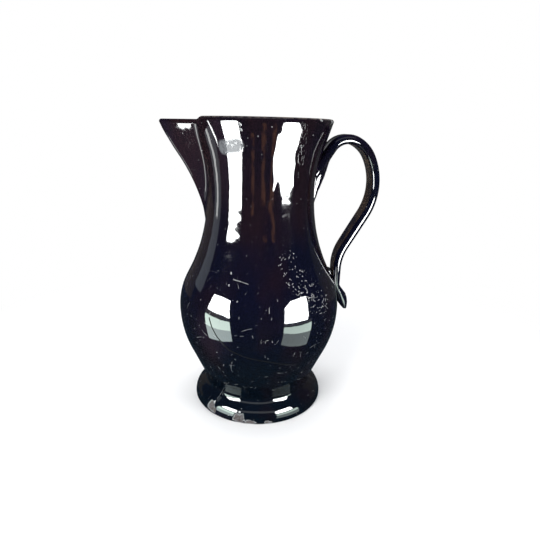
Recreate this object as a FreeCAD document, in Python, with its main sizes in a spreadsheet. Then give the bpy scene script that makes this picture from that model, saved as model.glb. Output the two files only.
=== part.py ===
import FreeCAD, Part
import math
import os
import sys
import Sketcher

# A black-glazed pottery jug: a thrown baluster body, a beak-shaped spout set on a
# notch in its rim, a pulled strap handle with a turned-out tail, and a spreading
# foot. The origin is on the axis at the resting plane, +Z up, the handle towards
# +X and the spout towards -X.

os.makedirs("parts", exist_ok=True)
doc = FreeCAD.newDocument("jug")

# Driving dimensions: lengths in millimetres, turns in degrees, shares of what they follow.
SIZES = {
    # thrown body, from its seat on the foot up to the rim
    "belly_rise": 49.4,
    "shoulder_rise": 80.0,
    "throat_rise": 48.0,
    "seat_radius": 41.0,
    "belly_radius": 57.1,
    "neck_radius": 36.5,
    "rim_radius": 46.6,
    "low_belly_share": 0.847,
    "waist_share": 0.712,
    "throat_share": 0.868,
    "wall": 3.4,
    "floor_thickness": 5.0,
    "floor_corner": 9.0,
    # spreading foot
    "foot_height": 22.0,
    "foot_step": 0.4,
    "foot_spread": 6.9,
    "foot_lip_height": 1.7,
    "foot_lip_round": 5.6,
    "foot_rim_width": 6.0,
    "foot_wall": 6.6,
    "foot_bead": 1.5,
    "foot_stem": 2.5,
    "foot_cove_share": 0.694,
    # slip between the body and the foot
    "slip": 0.6,
    # spout
    "spout_drop": 1.8,
    "spout_middle_fall": 30.2,
    "spout_fall": 64.2,
    "spout_overhang": 20.3,
    "spout_middle_overhang": 13.1,
    "spout_low_overhang": 1.0,
    "spout_base_share": 0.644,
    "spout_spread_share": 0.607,
    "spout_low_base_share": 0.822,
    "spout_middle_spread_share": 0.444,
    "spout_low_spread_share": 0.274,
    "spout_wall": 2.8,
    "spout_channel_round": 0.8,
    "spout_channel_share": 0.603,
    "spout_seam": 4.2,
    "seam_low_share": 0.588,
    # handle, a strap along lines and arcs; the shares are of its height
    "handle_drop": 37.2,
    "handle_embed": 2.9,
    "handle_rise": 56.4,
    "root_share": 0.3034,
    "crown_share": 0.1732,
    "crown_turn": 81.1,
    "corner_share": 0.2904,
    "corner_turn": 37.6,
    "back_share": 0.5404,
    "return_share": 0.7016,
    "rest_share": 0.1639,
    "rest_inset": 1.4,
    "strap_width": 17.0,
    "strap_low_width": 14.5,
    "strap_thickness": 6.8,
    "strap_root_thickness": 8.0,
    "strap_low_thickness": 5.6,
    "strap_edge": 2.3,
    # turned-out tail of the strap, up and down from the belly's widest place
    "tail_top_rise": 14.0,
    "tail_shoulder_rise": 4.0,
    "tail_tip_fall": 6.0,
    "tail_overhang": 8.7,
    "tail_tip_inset": 1.5,
    "tail_embed": 9.0,
    "tail_corner": 3.6,
    # clay worked in where the handle joins
    "upper_wad_fall": 18.8,
    "upper_wad_share": 0.837,
    "upper_wad_width": 15.0,
    "lower_wad_depth": 2.87,
    "lower_wad_width": 12.0,
    "wad_embed": 12.0,
    "wad_edge": 1.2,
}

# Heights above the resting plane, each from the one below it.
SEAT = "(sizes.foot_height + sizes.slip)"
BELLY = "(%s + sizes.belly_rise)" % SEAT
NECK = "(%s + sizes.shoulder_rise)" % BELLY
RIM = "(%s + sizes.throat_rise)" % NECK

# Radii of the wall's arcs: a share of the largest arc that still reaches the next place.
SEAT_DROP = "(sizes.belly_radius - sizes.seat_radius)"
LOW_BELLY_ARC = "(sizes.low_belly_share * (%s ^ 2 + sizes.belly_rise ^ 2) / (2 * %s))" % (
    SEAT_DROP, SEAT_DROP,
)
NECK_DROP = "(sizes.belly_radius - sizes.neck_radius)"
SHOULDER_ARCS = "((%s ^ 2 + sizes.shoulder_rise ^ 2) / (2 * %s))" % (NECK_DROP, NECK_DROP)
WAIST_ARC = "(sizes.waist_share * %s)" % SHOULDER_ARCS
SHOULDER_ARC = "(%s - %s)" % (SHOULDER_ARCS, WAIST_ARC)
LIP_ROUND = "(sizes.wall / 2)"
LIP_OUT = "(sizes.rim_radius - %s - sizes.neck_radius)" % LIP_ROUND
LIP_UP = "(sizes.throat_rise - %s)" % LIP_ROUND
THROAT_ARC = "(sizes.throat_share * (%s ^ 2 + %s ^ 2 - %s ^ 2) / (2 * (%s + %s)))" % (
    LIP_OUT, LIP_UP, LIP_ROUND, LIP_OUT, LIP_ROUND,
)

OVERRUN = "sizes.wall"
ORIGIN = (-1, 1)


def fill_sheet():
    """One row for each driving dimension: its name, and its value under an alias."""
    table = doc.addObject("Spreadsheet::Sheet", "sizes")
    for row, (name, number) in enumerate(SIZES.items(), start=1):
        table.set("A%d" % row, name)
        table.set("B%d" % row, str(number))
        table.setAlias("B%d" % row, name)
    return table


sheet = fill_sheet()
doc.recompute()


def size(name):
    return float(getattr(sheet, name))


def worth(expression):
    """The number that an expression of the sheet's names gives now."""
    result = sheet.evalExpression(expression.replace("sizes.", ""))
    return float(getattr(result, "Value", result))


# Sketching

def plane_of(body, role):
    return next(item for item in body.Origin.OriginFeatures if item.Role == role)


def sketch_on(body, name, role):
    sketch = body.newObject("Sketcher::SketchObject", name)
    sketch.AttachmentSupport = (plane_of(body, role), [""])
    sketch.MapMode = "FlatFace"
    return sketch


def point(x, y):
    return FreeCAD.Vector(x, y, 0)


def heading(angle):
    return FreeCAD.Vector(math.cos(angle), math.sin(angle), 0)


def add_line(sketch, start, end, construction=False):
    return sketch.addGeometry(Part.LineSegment(point(*start), point(*end)), construction)


def add_arc(sketch, centre, radius, start, end):
    """An arc counter-clockwise from one angle to the other, in radians."""
    circle = Part.Circle(point(*centre), FreeCAD.Vector(0, 0, 1), radius)
    return sketch.addGeometry(Part.ArcOfCircle(circle, start, end), False)


def hold(sketch, kind, where, expression):
    """A dimension that follows an expression of the sheet's names."""
    at = sketch.addConstraint(Sketcher.Constraint(kind, *where, worth(expression)))
    sketch.setExpression("Constraints[%d]" % at, expression)


def hold_point(sketch, where, x, y):
    """Places a point; a coordinate given as None stays free, and zero lies on an axis."""
    if x == "0":
        sketch.addConstraint(Sketcher.Constraint("PointOnObject", *where, -2))
    elif x is not None:
        hold(sketch, "DistanceX", (*ORIGIN, *where), x)
    if y == "0":
        sketch.addConstraint(Sketcher.Constraint("PointOnObject", *where, -1))
    elif y is not None:
        hold(sketch, "DistanceY", (*ORIGIN, *where), y)


def join(sketch, first, second):
    sketch.addConstraint(Sketcher.Constraint("Coincident", *first, *second))


def smooth(sketch, first, second):
    """Two ends meet with one tangent."""
    sketch.addConstraint(Sketcher.Constraint("Tangent", *first, *second))


def polygon(sketch, corners):
    """A closed outline through corners, each a pair of expressions."""
    values = [tuple(0.0 if c == "0" else worth(c) for c in corner) for corner in corners]
    lines = []
    for index, start in enumerate(values):
        lines.append(add_line(sketch, start, values[(index + 1) % len(values)]))
    for index, line in enumerate(lines):
        join(sketch, (line, 2), (lines[(index + 1) % len(lines)], 1))
        hold_point(sketch, (line, 1), *corners[index])
    return lines


def check_sketch(sketch):
    """Stops on a sketch that doesn't solve or isn't held in full."""
    sketch.solve()
    doc.recompute()
    if not sketch.FullyConstrained:
        sys.exit("sketch %s is not held in full" % sketch.Label)


def tangent_point(centre, radius, outside, side):
    """Where a line from a point outside touches a circle, on the side given as 1 or -1."""
    across = outside[0] - centre[0]
    up = outside[1] - centre[1]
    turn = side * math.acos(radius / math.hypot(across, up))
    angle = math.atan2(up, across) + turn
    return (centre[0] + radius * math.cos(angle), centre[1] + radius * math.sin(angle)), angle


# Thrown body

def wall_line(sketch):
    """The outside of the thrown wall, from the seat on the foot up to the top of the lip.

    The lower wall runs straight into the belly. Two arcs meet at the belly's widest
    place, two at the neck's narrowest, and the throat runs straight into a round lip.
    """
    belly = size("belly_radius")
    belly_z = worth(BELLY)
    neck = size("neck_radius")
    neck_z = worth(NECK)
    low_arc = worth(LOW_BELLY_ARC)
    waist_arc = worth(WAIST_ARC)
    shoulder_arc = worth(SHOULDER_ARC)
    throat_arc = worth(THROAT_ARC)
    turn = 2 * math.atan(worth(NECK_DROP) / size("shoulder_rise"))
    lip_round = worth(LIP_ROUND)

    seat = (size("seat_radius"), worth(SEAT))
    lower_centre = (belly - low_arc, belly_z)
    touch, low_angle = tangent_point(lower_centre, low_arc, seat, 1)
    shoulder_centre = (belly - shoulder_arc, belly_z)
    waist_centre = (neck + waist_arc, neck_z)
    throat_centre = (neck + throat_arc, neck_z)
    lip_centre = (size("rim_radius") - lip_round, worth(RIM) - lip_round)
    reach = math.hypot(throat_centre[0] - lip_centre[0], throat_centre[1] - lip_centre[1])
    bearing = math.atan2(lip_centre[1] - throat_centre[1], lip_centre[0] - throat_centre[0])
    throat_angle = bearing + math.acos((throat_arc + lip_round) / reach)
    throat_end = (
        throat_centre[0] + throat_arc * math.cos(throat_angle),
        throat_centre[1] + throat_arc * math.sin(throat_angle),
    )
    lip_angle = throat_angle - math.pi
    flare_end = (
        lip_centre[0] + lip_round * math.cos(lip_angle),
        lip_centre[1] + lip_round * math.sin(lip_angle),
    )

    lower = add_line(sketch, seat, touch)
    low_belly = add_arc(sketch, lower_centre, low_arc, low_angle, 0)
    shoulder = add_arc(sketch, shoulder_centre, shoulder_arc, 0, turn)
    waist = add_arc(sketch, waist_centre, waist_arc, math.pi, math.pi + turn)
    throat = add_arc(sketch, throat_centre, throat_arc, throat_angle, math.pi)
    flare = add_line(sketch, throat_end, flare_end)
    lip = add_arc(sketch, lip_centre, lip_round, lip_angle, math.pi / 2)

    hold_point(sketch, (lower, 1), "sizes.seat_radius", SEAT)
    smooth(sketch, (lower, 2), (low_belly, 1))
    hold(sketch, "Radius", (low_belly,), LOW_BELLY_ARC)
    hold_point(sketch, (low_belly, 3), None, BELLY)
    hold_point(sketch, (low_belly, 2), "sizes.belly_radius", BELLY)
    join(sketch, (low_belly, 2), (shoulder, 1))
    hold_point(sketch, (shoulder, 3), None, BELLY)
    smooth(sketch, (shoulder, 2), (waist, 2))
    hold(sketch, "Radius", (waist,), WAIST_ARC)
    hold_point(sketch, (waist, 3), None, NECK)
    hold_point(sketch, (waist, 1), "sizes.neck_radius", NECK)
    join(sketch, (waist, 1), (throat, 2))
    hold_point(sketch, (throat, 3), None, NECK)
    hold(sketch, "Radius", (throat,), THROAT_ARC)
    smooth(sketch, (throat, 1), (flare, 1))
    smooth(sketch, (flare, 2), (lip, 1))
    hold(sketch, "Radius", (lip,), LIP_ROUND)
    hold_point(sketch, (lip, 3), "sizes.rim_radius - " + LIP_ROUND, "%s - %s" % (RIM, LIP_ROUND))
    sketch.addConstraint(Sketcher.Constraint("Vertical", lip, 2, lip, 3))
    return lower, low_belly, shoulder, waist, throat, flare, lip


def inside_line(sketch, outside):
    """The inside of the wall, one wall's thickness in, down to a rounded corner and the floor."""
    lower, low_belly, shoulder, waist, throat, flare, lip = outside
    wall = size("wall")
    corner = size("floor_corner")

    def centre_of(arc):
        middle = sketch.Geometry[arc].Center
        return middle.x, middle.y

    def around(arc, start, end, change):
        return add_arc(sketch, centre_of(arc), sketch.Geometry[arc].Radius + change, start, end)

    def turned(arc):
        shape = sketch.Geometry[arc]
        return shape.FirstParameter, shape.LastParameter

    def inset(line):
        shape = sketch.Geometry[line]
        along = (shape.EndPoint - shape.StartPoint).normalize()
        shift = FreeCAD.Vector(-along.y, along.x, 0) * wall
        ends = (shape.StartPoint + shift, shape.EndPoint + shift)
        return [(end.x, end.y) for end in ends]

    lip_end = turned(lip)[0] + math.pi
    lip_in = add_arc(sketch, centre_of(lip), wall / 2, math.pi / 2, lip_end)
    flare_in = add_line(sketch, *inset(flare))
    throat_in = around(throat, *turned(throat), wall)
    waist_in = around(waist, *turned(waist), wall)
    shoulder_in = around(shoulder, *turned(shoulder), -wall)
    belly_in = around(low_belly, *turned(low_belly), -wall)

    start, end = inset(lower)
    rise = math.atan2(end[1] - start[1], end[0] - start[0])
    floor = worth(SEAT) + size("floor_thickness")
    along = (floor + corner - math.cos(rise) * corner - start[1]) / math.sin(rise)
    low = (start[0] + along * math.cos(rise), start[1] + along * math.sin(rise))
    bend = (low[0] - corner * math.sin(rise), floor + corner)
    lower_in = add_line(sketch, low, end)
    bend_arc = add_arc(sketch, bend, corner, -math.pi / 2, rise - math.pi / 2)
    floor_line = add_line(sketch, (0, floor), (bend[0], floor))

    join(sketch, (lip_in, 1), (lip, 2))
    join(sketch, (lip_in, 3), (lip, 3))
    smooth(sketch, (lip_in, 2), (flare_in, 2))
    sketch.addConstraint(Sketcher.Constraint("Parallel", flare_in, flare))
    smooth(sketch, (flare_in, 1), (throat_in, 1))
    join(sketch, (throat_in, 3), (throat, 3))
    hold_point(sketch, (throat_in, 2), None, NECK)
    join(sketch, (throat_in, 2), (waist_in, 1))
    join(sketch, (waist_in, 3), (waist, 3))
    smooth(sketch, (waist_in, 2), (shoulder_in, 2))
    join(sketch, (shoulder_in, 3), (shoulder, 3))
    hold_point(sketch, (shoulder_in, 1), None, BELLY)
    join(sketch, (shoulder_in, 1), (belly_in, 2))
    join(sketch, (belly_in, 3), (low_belly, 3))
    smooth(sketch, (belly_in, 1), (lower_in, 2))
    sketch.addConstraint(Sketcher.Constraint("Parallel", lower_in, lower))
    smooth(sketch, (lower_in, 1), (bend_arc, 2))
    hold(sketch, "Radius", (bend_arc,), "sizes.floor_corner")
    smooth(sketch, (bend_arc, 1), (floor_line, 2))
    sketch.addConstraint(Sketcher.Constraint("Horizontal", floor_line))
    hold_point(sketch, (floor_line, 1), "0", SEAT + " + sizes.floor_thickness")
    return floor_line


def turn_round(body, kind, name, sketch):
    """A full turn about the jug's axis."""
    feature = body.newObject("PartDesign::" + kind, name)
    feature.Profile = sketch
    feature.ReferenceAxis = (sketch, ["V_Axis"])
    feature.Angle = 360
    doc.recompute()
    return feature


def clear_of_wall(body, name):
    """Takes away all that lies within the thrown body's outside, so that a piece seats on it."""
    sketch = sketch_on(body, name + "_section", "XZ_Plane")
    outside = wall_line(sketch)
    rim_z = worth(RIM)
    seat_z = worth(SEAT)
    top = add_line(sketch, (size("rim_radius") - worth(LIP_ROUND), rim_z), (0, rim_z))
    axis = add_line(sketch, (0, rim_z), (0, seat_z))
    base = add_line(sketch, (0, seat_z), (size("seat_radius"), seat_z))
    join(sketch, (outside[-1], 2), (top, 1))
    join(sketch, (top, 2), (axis, 1))
    join(sketch, (axis, 2), (base, 1))
    join(sketch, (base, 2), (outside[0], 1))
    sketch.addConstraint(Sketcher.Constraint("Horizontal", top))
    sketch.addConstraint(Sketcher.Constraint("Horizontal", base))
    hold_point(sketch, (axis, 1), "0", None)
    hold_point(sketch, (axis, 2), "0", None)
    check_sketch(sketch)
    return turn_round(body, "Groove", name, sketch)


def new_body(name):
    body = doc.addObject("PartDesign::Body", name)
    body.Label = name
    return body


def make_thrown_body():
    body = new_body("thrown_body")
    sketch = sketch_on(body, "wall_section", "XZ_Plane")
    outside = wall_line(sketch)
    floor = inside_line(sketch, outside)
    seat_z = worth(SEAT)
    axis = add_line(sketch, (0, seat_z + size("floor_thickness")), (0, seat_z))
    base = add_line(sketch, (0, seat_z), (size("seat_radius"), seat_z))
    join(sketch, (floor, 1), (axis, 1))
    join(sketch, (axis, 2), (base, 1))
    join(sketch, (base, 2), (outside[0], 1))
    hold_point(sketch, (axis, 2), "0", None)
    sketch.addConstraint(Sketcher.Constraint("Horizontal", base))
    check_sketch(sketch)
    turn_round(body, "Revolution", "wall_turned", sketch)
    cut_spout_channel(body)
    cut_above_spout(body)
    return body


# Spout

SPOUT_TOP = "(%s - sizes.spout_drop)" % RIM
TIP_ROUND = "(sizes.spout_wall + sizes.spout_channel_round)"


def spout_level(height, radius, overhang, base_share, spread_share):
    """A level's height, its reach from the axis, and where its flank starts: out from the axis and aside."""
    return {
        "height": height,
        "reach": "(sizes.%s + sizes.%s)" % (radius, overhang),
        "base": "sizes.%s * sizes.%s" % (radius, base_share),
        "spread": "sizes.%s * sizes.%s" % (radius, spread_share),
    }


SPOUT_LEVELS = {
    "low": spout_level(
        SPOUT_TOP + " - sizes.spout_fall",
        "neck_radius", "spout_low_overhang", "spout_low_base_share", "spout_low_spread_share",
    ),
    "middle": spout_level(
        SPOUT_TOP + " - sizes.spout_middle_fall",
        "neck_radius", "spout_middle_overhang", "spout_low_base_share", "spout_middle_spread_share",
    ),
    "top": spout_level(
        SPOUT_TOP,
        "rim_radius", "spout_overhang", "spout_base_share", "spout_spread_share",
    ),
}


def spout_flank(level):
    """The near flank's line in plan: its tip's centre, where it leaves the tip, its angle there, its foot."""
    at = SPOUT_LEVELS[level]
    tip = worth(TIP_ROUND)
    centre = (tip - worth(at["reach"]), 0.0)
    base = (-worth(at["base"]), -worth(at["spread"]))
    touch, angle = tangent_point(centre, tip, base, -1)
    return centre, touch, angle, base


def spout_section(body, name, level, inner):
    """A level section of the spout, a triangle with a round tip, or of the channel inside it."""
    at = SPOUT_LEVELS[level]
    sketch = sketch_on(body, "%s_%s" % (name, level), "XY_Plane")
    sketch.setExpression("AttachmentOffset.Base.z", at["height"])
    centre, touch, angle, base = spout_flank(level)
    tip = worth(TIP_ROUND)
    mirrored = (touch[0], -touch[1])
    far_base = (base[0], -base[1])
    near = add_line(sketch, touch, base, inner)
    far = add_line(sketch, far_base, mirrored, inner)
    hold_point(sketch, (near, 2), "-" + at["base"], "-" + at["spread"])
    hold_point(sketch, (far, 1), "-" + at["base"], at["spread"])
    circle = Part.Circle(point(*centre), FreeCAD.Vector(0, 0, 1), tip)
    turn = 2 * math.pi + angle if angle < 0 else angle
    round_tip = sketch.addGeometry(Part.ArcOfCircle(circle, 2 * math.pi - turn, turn), inner)
    smooth(sketch, (near, 1), (round_tip, 2))
    smooth(sketch, (far, 2), (round_tip, 1))
    hold(sketch, "Radius", (round_tip,), TIP_ROUND)
    hold_point(sketch, (round_tip, 3), "%s - %s" % (TIP_ROUND, at["reach"]), "0")
    if not inner:
        back = add_line(sketch, base, far_base)
        join(sketch, (near, 2), (back, 1))
        join(sketch, (back, 2), (far, 1))
        check_sketch(sketch)
        return sketch
    along = FreeCAD.Vector(base[0] - touch[0], base[1] - touch[1], 0).normalize()
    inward = FreeCAD.Vector(-along.y, along.x, 0)
    tip_in = size("spout_channel_round")
    touch_in = (centre[0] - inward.x * tip_in, centre[1] - inward.y * tip_in)
    back_x = "-sizes.neck_radius * sizes.spout_channel_share"
    run = (touch_in[0] - worth(back_x)) / -along.x
    end = (worth(back_x), touch_in[1] + along.y * run)
    near_in = add_line(sketch, touch_in, end)
    far_in = add_line(sketch, (end[0], -end[1]), (touch_in[0], -touch_in[1]))
    back = add_line(sketch, end, (end[0], -end[1]))
    tip_arc = add_arc(sketch, centre, tip_in, 2 * math.pi - turn, turn)
    sketch.addConstraint(Sketcher.Constraint("Parallel", near_in, near))
    sketch.addConstraint(Sketcher.Constraint("Parallel", far_in, far))
    smooth(sketch, (near_in, 1), (tip_arc, 2))
    smooth(sketch, (far_in, 2), (tip_arc, 1))
    join(sketch, (tip_arc, 3), (round_tip, 3))
    hold(sketch, "Radius", (tip_arc,), "sizes.spout_channel_round")
    join(sketch, (near_in, 2), (back, 1))
    join(sketch, (back, 2), (far_in, 1))
    sketch.addConstraint(Sketcher.Constraint("Vertical", back))
    hold_point(sketch, (back, 1), back_x, None)
    check_sketch(sketch)
    return sketch


def loft(body, kind, name, sections):
    feature = body.newObject("PartDesign::" + kind, name)
    feature.Profile = sections[0]
    feature.Sections = sections[1:]
    doc.recompute()
    return feature


def cut_spout_channel(body):
    sections = [spout_section(body, "channel", level, True) for level in SPOUT_LEVELS]
    return loft(body, "SubtractiveLoft", "spout_channel", sections)


def cut_above_spout(body):
    """Opens the lip above the spout's own top."""
    sketch = spout_section(body, "mouth", "top", True)
    pocket = body.newObject("PartDesign::Pocket", "spout_mouth")
    pocket.Profile = sketch
    pocket.Reversed = True
    pocket.setExpression("Length", "sizes.spout_drop + " + OVERRUN)
    doc.recompute()
    return pocket


def spout_outside(body, kind):
    sections = [spout_section(body, "outside", level, False) for level in SPOUT_LEVELS]
    return loft(body, kind, "spout_" + kind.lower(), sections)


def make_spout():
    """The spout, with the shapes within its outside and within the thrown body's, for the seams beside it."""
    body = new_body("spout")
    outside = spout_outside(body, "AdditiveLoft")
    cut_spout_channel(body)
    clearance = clear_of_wall(body, "neck_clearance")
    return body, outside.Shape, filled_outside(clearance.Profile[0])


# Spreading foot

FOOT_NECK = "(sizes.seat_radius - sizes.foot_step)"
FOOT_BORE = "(%s - sizes.foot_wall)" % FOOT_NECK
FOOT_RIM_INNER = "(%s + sizes.foot_spread - sizes.foot_rim_width)" % FOOT_NECK
FOOT_LIP_X = "(%s + sizes.foot_spread - sizes.foot_lip_round)" % FOOT_NECK
FOOT_STEM_LOW = "(sizes.foot_height - 2 * sizes.foot_bead - sizes.foot_stem)"
COVE_IN = "(sizes.foot_lip_round - sizes.foot_spread)"
COVE_UP = "(%s - sizes.foot_lip_height)" % FOOT_STEM_LOW
LARGEST_COVE = "((%s ^ 2 + %s ^ 2 - sizes.foot_lip_round ^ 2) / (2 * sizes.foot_spread))" % (COVE_IN, COVE_UP)
FOOT_COVE = "(sizes.foot_cove_share * %s)" % LARGEST_COVE


def make_foot():
    body = new_body("spreading_foot")
    sketch = sketch_on(body, "foot_section", "XZ_Plane")
    neck = worth(FOOT_NECK)
    top = size("foot_height")
    bead = size("foot_bead")
    cove = worth(FOOT_COVE)
    lip_round = size("foot_lip_round")
    rim_inner = worth(FOOT_RIM_INNER)
    bore = worth(FOOT_BORE)
    bead_centre = (neck, top - bead)
    cove_centre = (neck + cove, worth(FOOT_STEM_LOW))
    lip_centre = (worth(FOOT_LIP_X), size("foot_lip_height"))
    across = cove_centre[0] - lip_centre[0]
    up = cove_centre[1] - lip_centre[1]
    apart = math.hypot(across, up)
    flare = math.atan2(up, across) - math.acos((cove + lip_round) / apart)
    cove_end = (cove_centre[0] - cove * math.cos(flare), cove_centre[1] - cove * math.sin(flare))
    lip_start = (lip_centre[0] + lip_round * math.cos(flare), lip_centre[1] + lip_round * math.sin(flare))
    base_angle = -math.asin(lip_centre[1] / lip_round)
    base_end = lip_centre[0] + lip_round * math.cos(base_angle)

    bead_arc = add_arc(sketch, bead_centre, bead, -math.pi / 2, math.pi / 2)
    stem = add_line(sketch, (neck, top - 2 * bead), (neck, cove_centre[1]))
    cove_arc = add_arc(sketch, cove_centre, cove, math.pi, math.pi + flare)
    slope = add_line(sketch, cove_end, lip_start)
    lip = add_arc(sketch, lip_centre, lip_round, base_angle, flare)
    base = add_line(sketch, (base_end, 0), (rim_inner, 0))
    inside = add_line(sketch, (rim_inner, 0), (bore, top))
    seat = add_line(sketch, (bore, top), (neck, top))

    join(sketch, (seat, 2), (bead_arc, 2))
    join(sketch, (bead_arc, 1), (stem, 1))
    hold(sketch, "Radius", (bead_arc,), "sizes.foot_bead")
    hold_point(sketch, (bead_arc, 3), FOOT_NECK, "sizes.foot_height - sizes.foot_bead")
    sketch.addConstraint(Sketcher.Constraint("Vertical", bead_arc, 2, bead_arc, 3))
    sketch.addConstraint(Sketcher.Constraint("Vertical", bead_arc, 1, bead_arc, 3))
    sketch.addConstraint(Sketcher.Constraint("Vertical", stem))
    smooth(sketch, (stem, 2), (cove_arc, 1))
    hold(sketch, "Radius", (cove_arc,), FOOT_COVE)
    hold_point(sketch, (cove_arc, 3), None, FOOT_STEM_LOW)
    smooth(sketch, (cove_arc, 2), (slope, 1))
    smooth(sketch, (slope, 2), (lip, 2))
    hold(sketch, "Radius", (lip,), "sizes.foot_lip_round")
    hold_point(sketch, (lip, 3), FOOT_LIP_X, "sizes.foot_lip_height")
    join(sketch, (lip, 1), (base, 1))
    hold_point(sketch, (base, 1), None, "0")
    join(sketch, (base, 2), (inside, 1))
    hold_point(sketch, (base, 2), FOOT_RIM_INNER, "0")
    join(sketch, (inside, 2), (seat, 1))
    hold_point(sketch, (seat, 1), FOOT_BORE, "sizes.foot_height")
    check_sketch(sketch)
    turn_round(body, "Revolution", "foot_turned", sketch)
    return body


def make_foot_slip():
    body = new_body("foot_slip")
    sketch = sketch_on(body, "slip_section", "XZ_Plane")
    polygon(sketch, [
        (FOOT_BORE, "sizes.foot_height"),
        (FOOT_NECK, "sizes.foot_height"),
        (FOOT_NECK, SEAT),
        (FOOT_BORE, SEAT),
    ])
    check_sketch(sketch)
    turn_round(body, "Revolution", "slip_ring", sketch)
    return body


# Clay worked into the two corners between the spout and the neck

def filled_outside(sketch):
    """The solid within the thrown body's outside, from the sketch of its half section."""
    face = Part.Face(sketch.Shape.Wires[0])
    return face.revolve(FreeCAD.Vector(0, 0, 0), FreeCAD.Vector(0, 0, 1), 360)


def seam_corner(filled, level, mix, side):
    """Three corners in plan: out in the spout's flank, aside on the neck, and in the wall.

    They lie at a share of the way from the spout's middle level to another one.
    """
    height = mix * worth(SPOUT_LEVELS[level]["height"]) + (1 - mix) * worth(SPOUT_LEVELS["middle"]["height"])
    far_leave, far_start = [point(*spout_flank(level)[at]) for at in (1, 3)]
    leave, start = [point(*spout_flank("middle")[at]) for at in (1, 3)]
    leave = leave + (far_leave - leave) * mix
    start = start + (far_start - start) * mix
    along = (leave - start).normalize()
    radius = wall_radius(filled, height)
    ahead = -start.dot(along)
    corner = start + along * (ahead + math.sqrt(ahead * ahead - start.dot(start) + radius * radius))
    seam = size("spout_seam")
    out = corner + along * seam
    beside = heading(math.atan2(corner.y, corner.x) + seam / radius) * radius
    within = corner * (1 - seam / radius)
    return [FreeCAD.Vector(spot.x, spot.y * -side, height) for spot in (out, beside, within)]


def wall_radius(filled, height):
    """How far the thrown body's outside is from the axis at a height."""
    line = Part.makeLine((0, 0, height), (size("belly_radius") + size("rim_radius"), 0, height))
    return line.common(filled).Length


def make_seam(name, side, filled, spout_filled):
    """The seam on one side of the spout: -1 on the near side, 1 on the far one."""
    wires = []
    for level, mix in (("low", size("seam_low_share")), ("middle", 1), ("top", 1)):
        corners = seam_corner(filled, level, mix, side)
        wires.append(Part.makePolygon(corners + corners[:1]))
    seam = doc.addObject("Part::Feature", name)
    seam.Label = name
    seam.Shape = Part.makeLoft(wires, True).cut(spout_filled).cut(filled)
    return seam


# Handle

HANDLE_START = ("(sizes.neck_radius - sizes.handle_embed)", "(%s - sizes.handle_drop)" % RIM)
TAIL_TOP = "(%s + sizes.tail_top_rise)" % BELLY
HANDLE_HEIGHT = "(%s - %s)" % (HANDLE_START[1], TAIL_TOP)
HANDLE_REST = "(sizes.belly_radius - sizes.rest_inset)"
RISE = "(sizes.handle_rise * 1 deg)"
STRAP_ARCS = ("crown", "corner", "back")


def handle_share(name):
    return "(sizes.%s_share * %s)" % (name, HANDLE_HEIGHT)


def back_centre():
    """The centre of the back's arc on the strap's middle line."""
    x = "%s + %s * cos(%s)" % (HANDLE_START[0], handle_share("root"), RISE)
    z = "%s + %s * sin(%s)" % (HANDLE_START[1], handle_share("root"), RISE)
    angle = RISE
    for name, after in zip(STRAP_ARCS, STRAP_ARCS[1:]):
        # each centre lies on the line through the last one and the place where the two arcs meet
        step = "(%s - %s)" % (handle_share(name), handle_share(after))
        if name == STRAP_ARCS[0]:
            x += " + %s * sin(%s)" % (handle_share(name), angle)
            z += " - %s * cos(%s)" % (handle_share(name), angle)
        angle = "(%s - sizes.%s_turn * 1 deg)" % (angle, name)
        x += " - %s * sin(%s)" % (step, angle)
        z += " + %s * cos(%s)" % (step, angle)
    return "(%s)" % x, "(%s)" % z


BACK_CENTRE = back_centre()
REST_TOP = "(%s + %s)" % (TAIL_TOP, handle_share("rest"))
BACK_TO_REST = "(%s - %s)" % (HANDLE_REST, BACK_CENTRE[0])
BACK_OVER_REST = "(%s - %s)" % (BACK_CENTRE[1], REST_TOP)
RETURN_ARC = "(sizes.return_share * (%s ^ 2 + %s ^ 2 - %s ^ 2) / (2 * (%s - %s)))" % (
    BACK_TO_REST, BACK_OVER_REST, handle_share("back"), handle_share("back"), BACK_TO_REST,
)


def strap_face(side):
    """One face of the strap in side view, 1 the outer and -1 the inner.

    Its stretches run from the neck to the belly, each as (radius or zero for a
    straight, start, heading, length or turn).
    """
    half = size("strap_thickness") / 2
    half_root = size("strap_root_thickness") / 2
    half_low = size("strap_low_thickness") / 2
    angle = math.radians(size("handle_rise"))
    root = worth(handle_share("root"))
    place = point(*[worth(value) for value in HANDLE_START])
    place = place + heading(angle + math.pi / 2) * (side * half_root)
    stretches = [(0, place, angle, root)]
    place = place + heading(angle) * root
    for name in STRAP_ARCS[:-1]:
        radius = worth(handle_share(name)) + side * half
        turn = math.radians(size(name + "_turn"))
        stretches.append((radius, place, angle, -turn))
        place = place + heading(angle - math.pi / 2) * radius
        angle -= turn
        place = place + heading(angle + math.pi / 2) * radius
    back = worth(handle_share("back")) + side * half
    back_in = worth(RETURN_ARC) - side * half_low
    back_spot = place + heading(angle - math.pi / 2) * back
    in_spot = point(worth(HANDLE_REST) + worth(RETURN_ARC), worth(REST_TOP))
    apart = in_spot - back_spot
    lean = math.acos((back + back_in) / apart.Length)
    fall_angle = math.atan2(apart.y, apart.x) - math.pi / 2 + lean
    stretches.append((back, place, angle, fall_angle - angle))
    place = back_spot + heading(fall_angle + math.pi / 2) * back
    fall = apart.Length * math.sin(lean)
    stretches.append((0, place, fall_angle, fall))
    place = place + heading(fall_angle) * fall
    stretches.append((back_in, place, fall_angle, -math.pi / 2 - fall_angle))
    stretches.append((0, in_spot - point(back_in, 0), -math.pi / 2, worth(handle_share("rest"))))
    return stretches


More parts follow.
